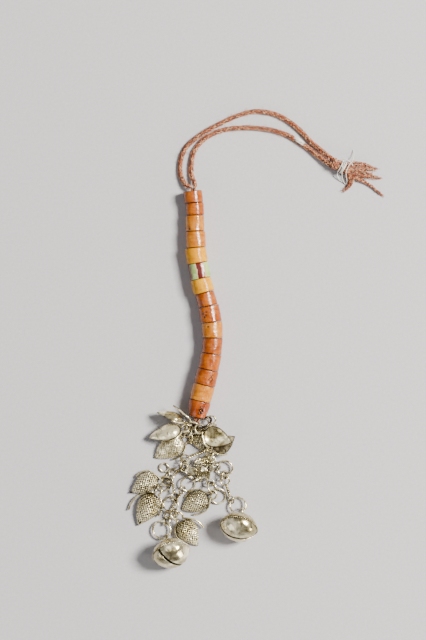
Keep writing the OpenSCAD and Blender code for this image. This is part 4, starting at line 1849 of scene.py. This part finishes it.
def string_of_beads() -> BeadString:
    """The cord, the beads and the tassel with the pendant's own sizes.

    Returns:
        The string.
    """
    strung = fitted(beads())
    route = [*CORD_TOP, *threaded(strung, -1), *CORD_TURN,
             *reversed(threaded(strung, 1)), *CORD_END]
    return BeadString(
        cords=[BraidedCord("outer_cord", ["outer_strand"], OUTER),
               BraidedCord("inner_cord", ["inner_strand"], INNER),
               BraidedCord("threaded_cord", ["drawn_cord"], route, 1.2, 4.5, 0.3, False)],
        tassel=Tassel(
            head=[(55.2, 85.9, 2.7, 1.5), (56.9, 85.0, 2.9, 1.9), (59.2, 84.1, 2.9, 2.0)],
            locks=[
                [(61.2, 83.4, 2.9, 1.9), (64.4, 84.2, 2.4, 2.2), (68.6, 84.0, 1.7, 1.5),
                 (71.8, 83.4, 1.0, 0.9), (74.6, 83.0, 0.5, 0.3)],
                [(61.2, 83.0, 2.8, 1.8), (64.8, 82.2, 2.2, 2.0), (69.4, 80.9, 1.5, 1.3),
                 (73.0, 80.0, 0.9, 0.7), (76.0, 79.3, 0.5, 0.3)],
                [(61.5, 82.6, 2.6, 1.5), (65.0, 80.2, 2.0, 0.9), (69.6, 77.6, 1.2, 0.3),
                 (73.6, 74.6, 0.8, 0.22), (77.0, 71.8, 0.5, 0.15)],
                [(61.8, 82.4, 2.6, 1.4), (63.2, 80.2, 1.9, 1.4), (63.2, 77.8, 1.2, 1.0),
                 (61.8, 75.6, 0.8, 0.7), (59.4, 74.0, 0.5, 0.3)],
                [(62.0, 82.6, 2.5, 1.4), (64.8, 80.8, 1.8, 1.3), (66.2, 78.6, 0.8, 0.4)]]),
        binding=BindingThread((56.6, 85.2, 2.9), -25, [
            [(60.2, 86.8, 3.6), (59.8, 84.6, 5.1), (59.6, 82.2, 4.6), (59.7, 80.0, 2.6),
             (60.4, 78.0, 0.9), (61.3, 77.1, 0.5), (61.7, 78.2, 1.6), (61.2, 80.6, 3.9),
             (61.4, 82.4, 5.2), (62.6, 84.8, 4.8), (63.8, 86.2, 3.4), (64.4, 88.6, 1.4),
             (64.4, 90.8, 0.4)],
            [(57.9, 81.7, 2.9), (57.9, 80.4, 2.0), (58.8, 78.8, 0.8), (60.6, 77.6, 0.4)],
            [(59.0, 86.9, 3.6), (60.4, 87.0, 4.2), (62.0, 86.3, 4.6), (63.4, 85.2, 4.4),
             (63.9, 84.2, 4.2)]]),
        bare=BareStretch([
            [(40.4, 95.5, 1.6), (41.6, 95.0, 2.1), (43.0, 94.1, 2.1), (44.6, 92.9, 1.9)],
            [(40.6, 94.9, 1.5), (41.9, 94.2, 1.9), (43.4, 93.2, 1.9), (44.4, 92.4, 1.7)],
            [(40.8, 95.9, 1.2), (42.0, 95.4, 1.3), (43.5, 94.4, 1.3), (44.9, 93.3, 1.4)]]),
        knot=BraidedCord("tied_knot", [], knot_route(), 1.7, 6.0, free=False),
        beads=strung)


RINGS = (
    ("dark", (4.4, -18.1, 3.5), 26, -62, 3.4, 0.45, 3, Slot.DARK_WIRE),
    ("top", (0.2, -20.2, 4.0), 0, 12, 2.35),
    ("oval", (-1.5, -21.9, 2.75), 75, -60, 1.9),
    ("wing", (-3.3, -34.8, 2.2), 95, 50, 2.0),
    ("lobe", (-1.8, -42.6, 1.4), 45, 17, 2.9, 0.4, 8),
    ("spread", (-9.0, -39.7, 2.1), 50, -50, 2.2),
    ("upper", (-11.3, -36.2, 0.7), 30, 4, 1.7),
    ("side", (-11.4, -42.5, 1.4), 0, 4, 2.8),
    ("wide", (-8.7, -50.8, 1.8), 60, -18, 3.0),
    ("low", (-12.3, -61.0, 1.7), 35, -4, 3.5),
    ("mid", (-7.3, -54.5, 2.8), 300, -50, 2.1),
    ("small", (-10.2, -57.2, 1.8), 235, 50, 1.7),
    ("corner", (7.8, -44.1, 2.2), 293, -50, 2.3),
    ("drop", (10.3, -47.6, 1.25), 45, 15, 3.0),
    ("edge", (9.0, -36.0, 2.1), 0, 52, 2.0),
    ("round", (12.9, -36.4, 1.6), 20, 6, 3.0, 0.4, 9),
    ("saddle", (12.8, -39.2, 1.95), 80, 55, 1.8),
    ("bell", (18.1, -51.2, 1.8), 22, -11, 3.2))
LINKS = (
    ("hidden", (7.6, -17.0, 2.9), 271, 0, 9.6, (1.6, 1.4), (0, -40), 3),
    ("long", (-3.1, -32.6, 2.5), 22, 3, 11.1, (1.6, 1.5), (0, 0), 4),
    ("upright", (-7.9, -41.0, 3.3), 275, -11, 6.8, (1.5, 1.6), (90, -50), 2),
    ("forked", (12.9, -41.3, 2.3), 288, -4, 8.0, (1.8, 1.6), (0, 50), 3),
    ("lower", (-4.1, -45.1, 1.6), 242, -2, 11.5, (1.6, 1.5), (-50, 0), 4),
    ("short", (-2.8, -36.2, 1.4), 200, -1, 5.4, (1.5, 1.5), (0, 0), 1))


def leaves() -> list[Leaf]:
    """The ten leaves: 1 and 10 are worn, 2 to 5 have dots, 6 to 9 are plain.

    Returns:
        The leaves.
    """
    plain, worn = Stamp.SMOOTH, Stamp.WORN
    return [
        Leaf(1, (-1.8, -24.2, 2.6), 214, -8, 0, 14.0, 9.4, 3.4, (10, 9.5), (0.4, 0.3),
             -0.8, stamp=worn),
        Leaf(2, (-13.5, -45.3, 1.8), 241, -3, 0, 14.4, 9.4, 3.4, (9, 12.6), (0.6, 3.2),
             -0.5, 52),
        Leaf(3, (-10.4, -41.5, 2.6), 214, -6, 0, 12.4, 8.0, 3.2, (5, 9), (0.3, 0.5), -4),
        Leaf(4, (7.9, -46.8, 3.0), 206, -11, 0, 12.2, 8.6, 3.2, (10.5, 10.5), (0.9, 0.5)),
        Leaf(5, (-5.7, -55.7, 2.9), 304, -8, 0, 12.3, 8.6, 3.2, (9.5, 9), (2.2, 0.6)),
        Leaf(6, (-2.9, -20.4, 4.1), 195, -3, 45, 13.0, 8.2, 3.0, (7, 6),
             stamp=plain, painted_highlight=1),
        Leaf(7, (-2.3, -18.4, 4.9), 160, 0, 80, 10.6, 8.0, 2.8, (6, 6),
             stamp=plain),
        Leaf(8, (2.9, -20.5, 5.3), 342, 2, 180, 12.0, 8.6, 1.4, (6, 6), shift=1.2,
             stamp=plain, hollow=0.15),
        Leaf(9, (7.1, -30.0, 4.1), 33, -5, 180, 9.8, 7.4, 1.2, (5.5, 5.5), twist=-50,
             stamp=plain, hollow=1.0),
        Leaf(10, (-1.3, -20.8, 1.9), 309, -5, 0, 11.2, 7.2, 1.4, (5, 5), shift=1.0,
             stamp=worn)]


def metal_cluster() -> Cluster:
    """The rings, links, leaves, bells and plaque with the pendant's own sizes.

    Returns:
        The cluster.
    """
    return Cluster(
        parts=[*(JumpRing(*row) for row in RINGS), *(TwistedLink(*row) for row in LINKS),
               *leaves(), RoundBell("left_bell", (-8.4, -69.8, 6.9), 128, 107.5, 147),
               RoundBell("right_bell", (18.4, -59.4, 7.0), 125.5, 77, 90),
               FiligreePlaque((3.4, -36.4, 2.1), 3)],
        loose_end=[(-7.6, -11.2, 6.0), (-5.4, -12.8, 6.6), (-3.0, -14.8, 7.0),
                   (-1.2, -16.4, 6.6), (-0.4, -18.0, 5.4)])


def main() -> None:
    """Builds the pendant and its surroundings in order."""
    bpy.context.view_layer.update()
    Studio().build()
    Part.palette = Palette()
    string_of_beads().build()
    metal_cluster().build()


if __name__ == "__main__":
    main()
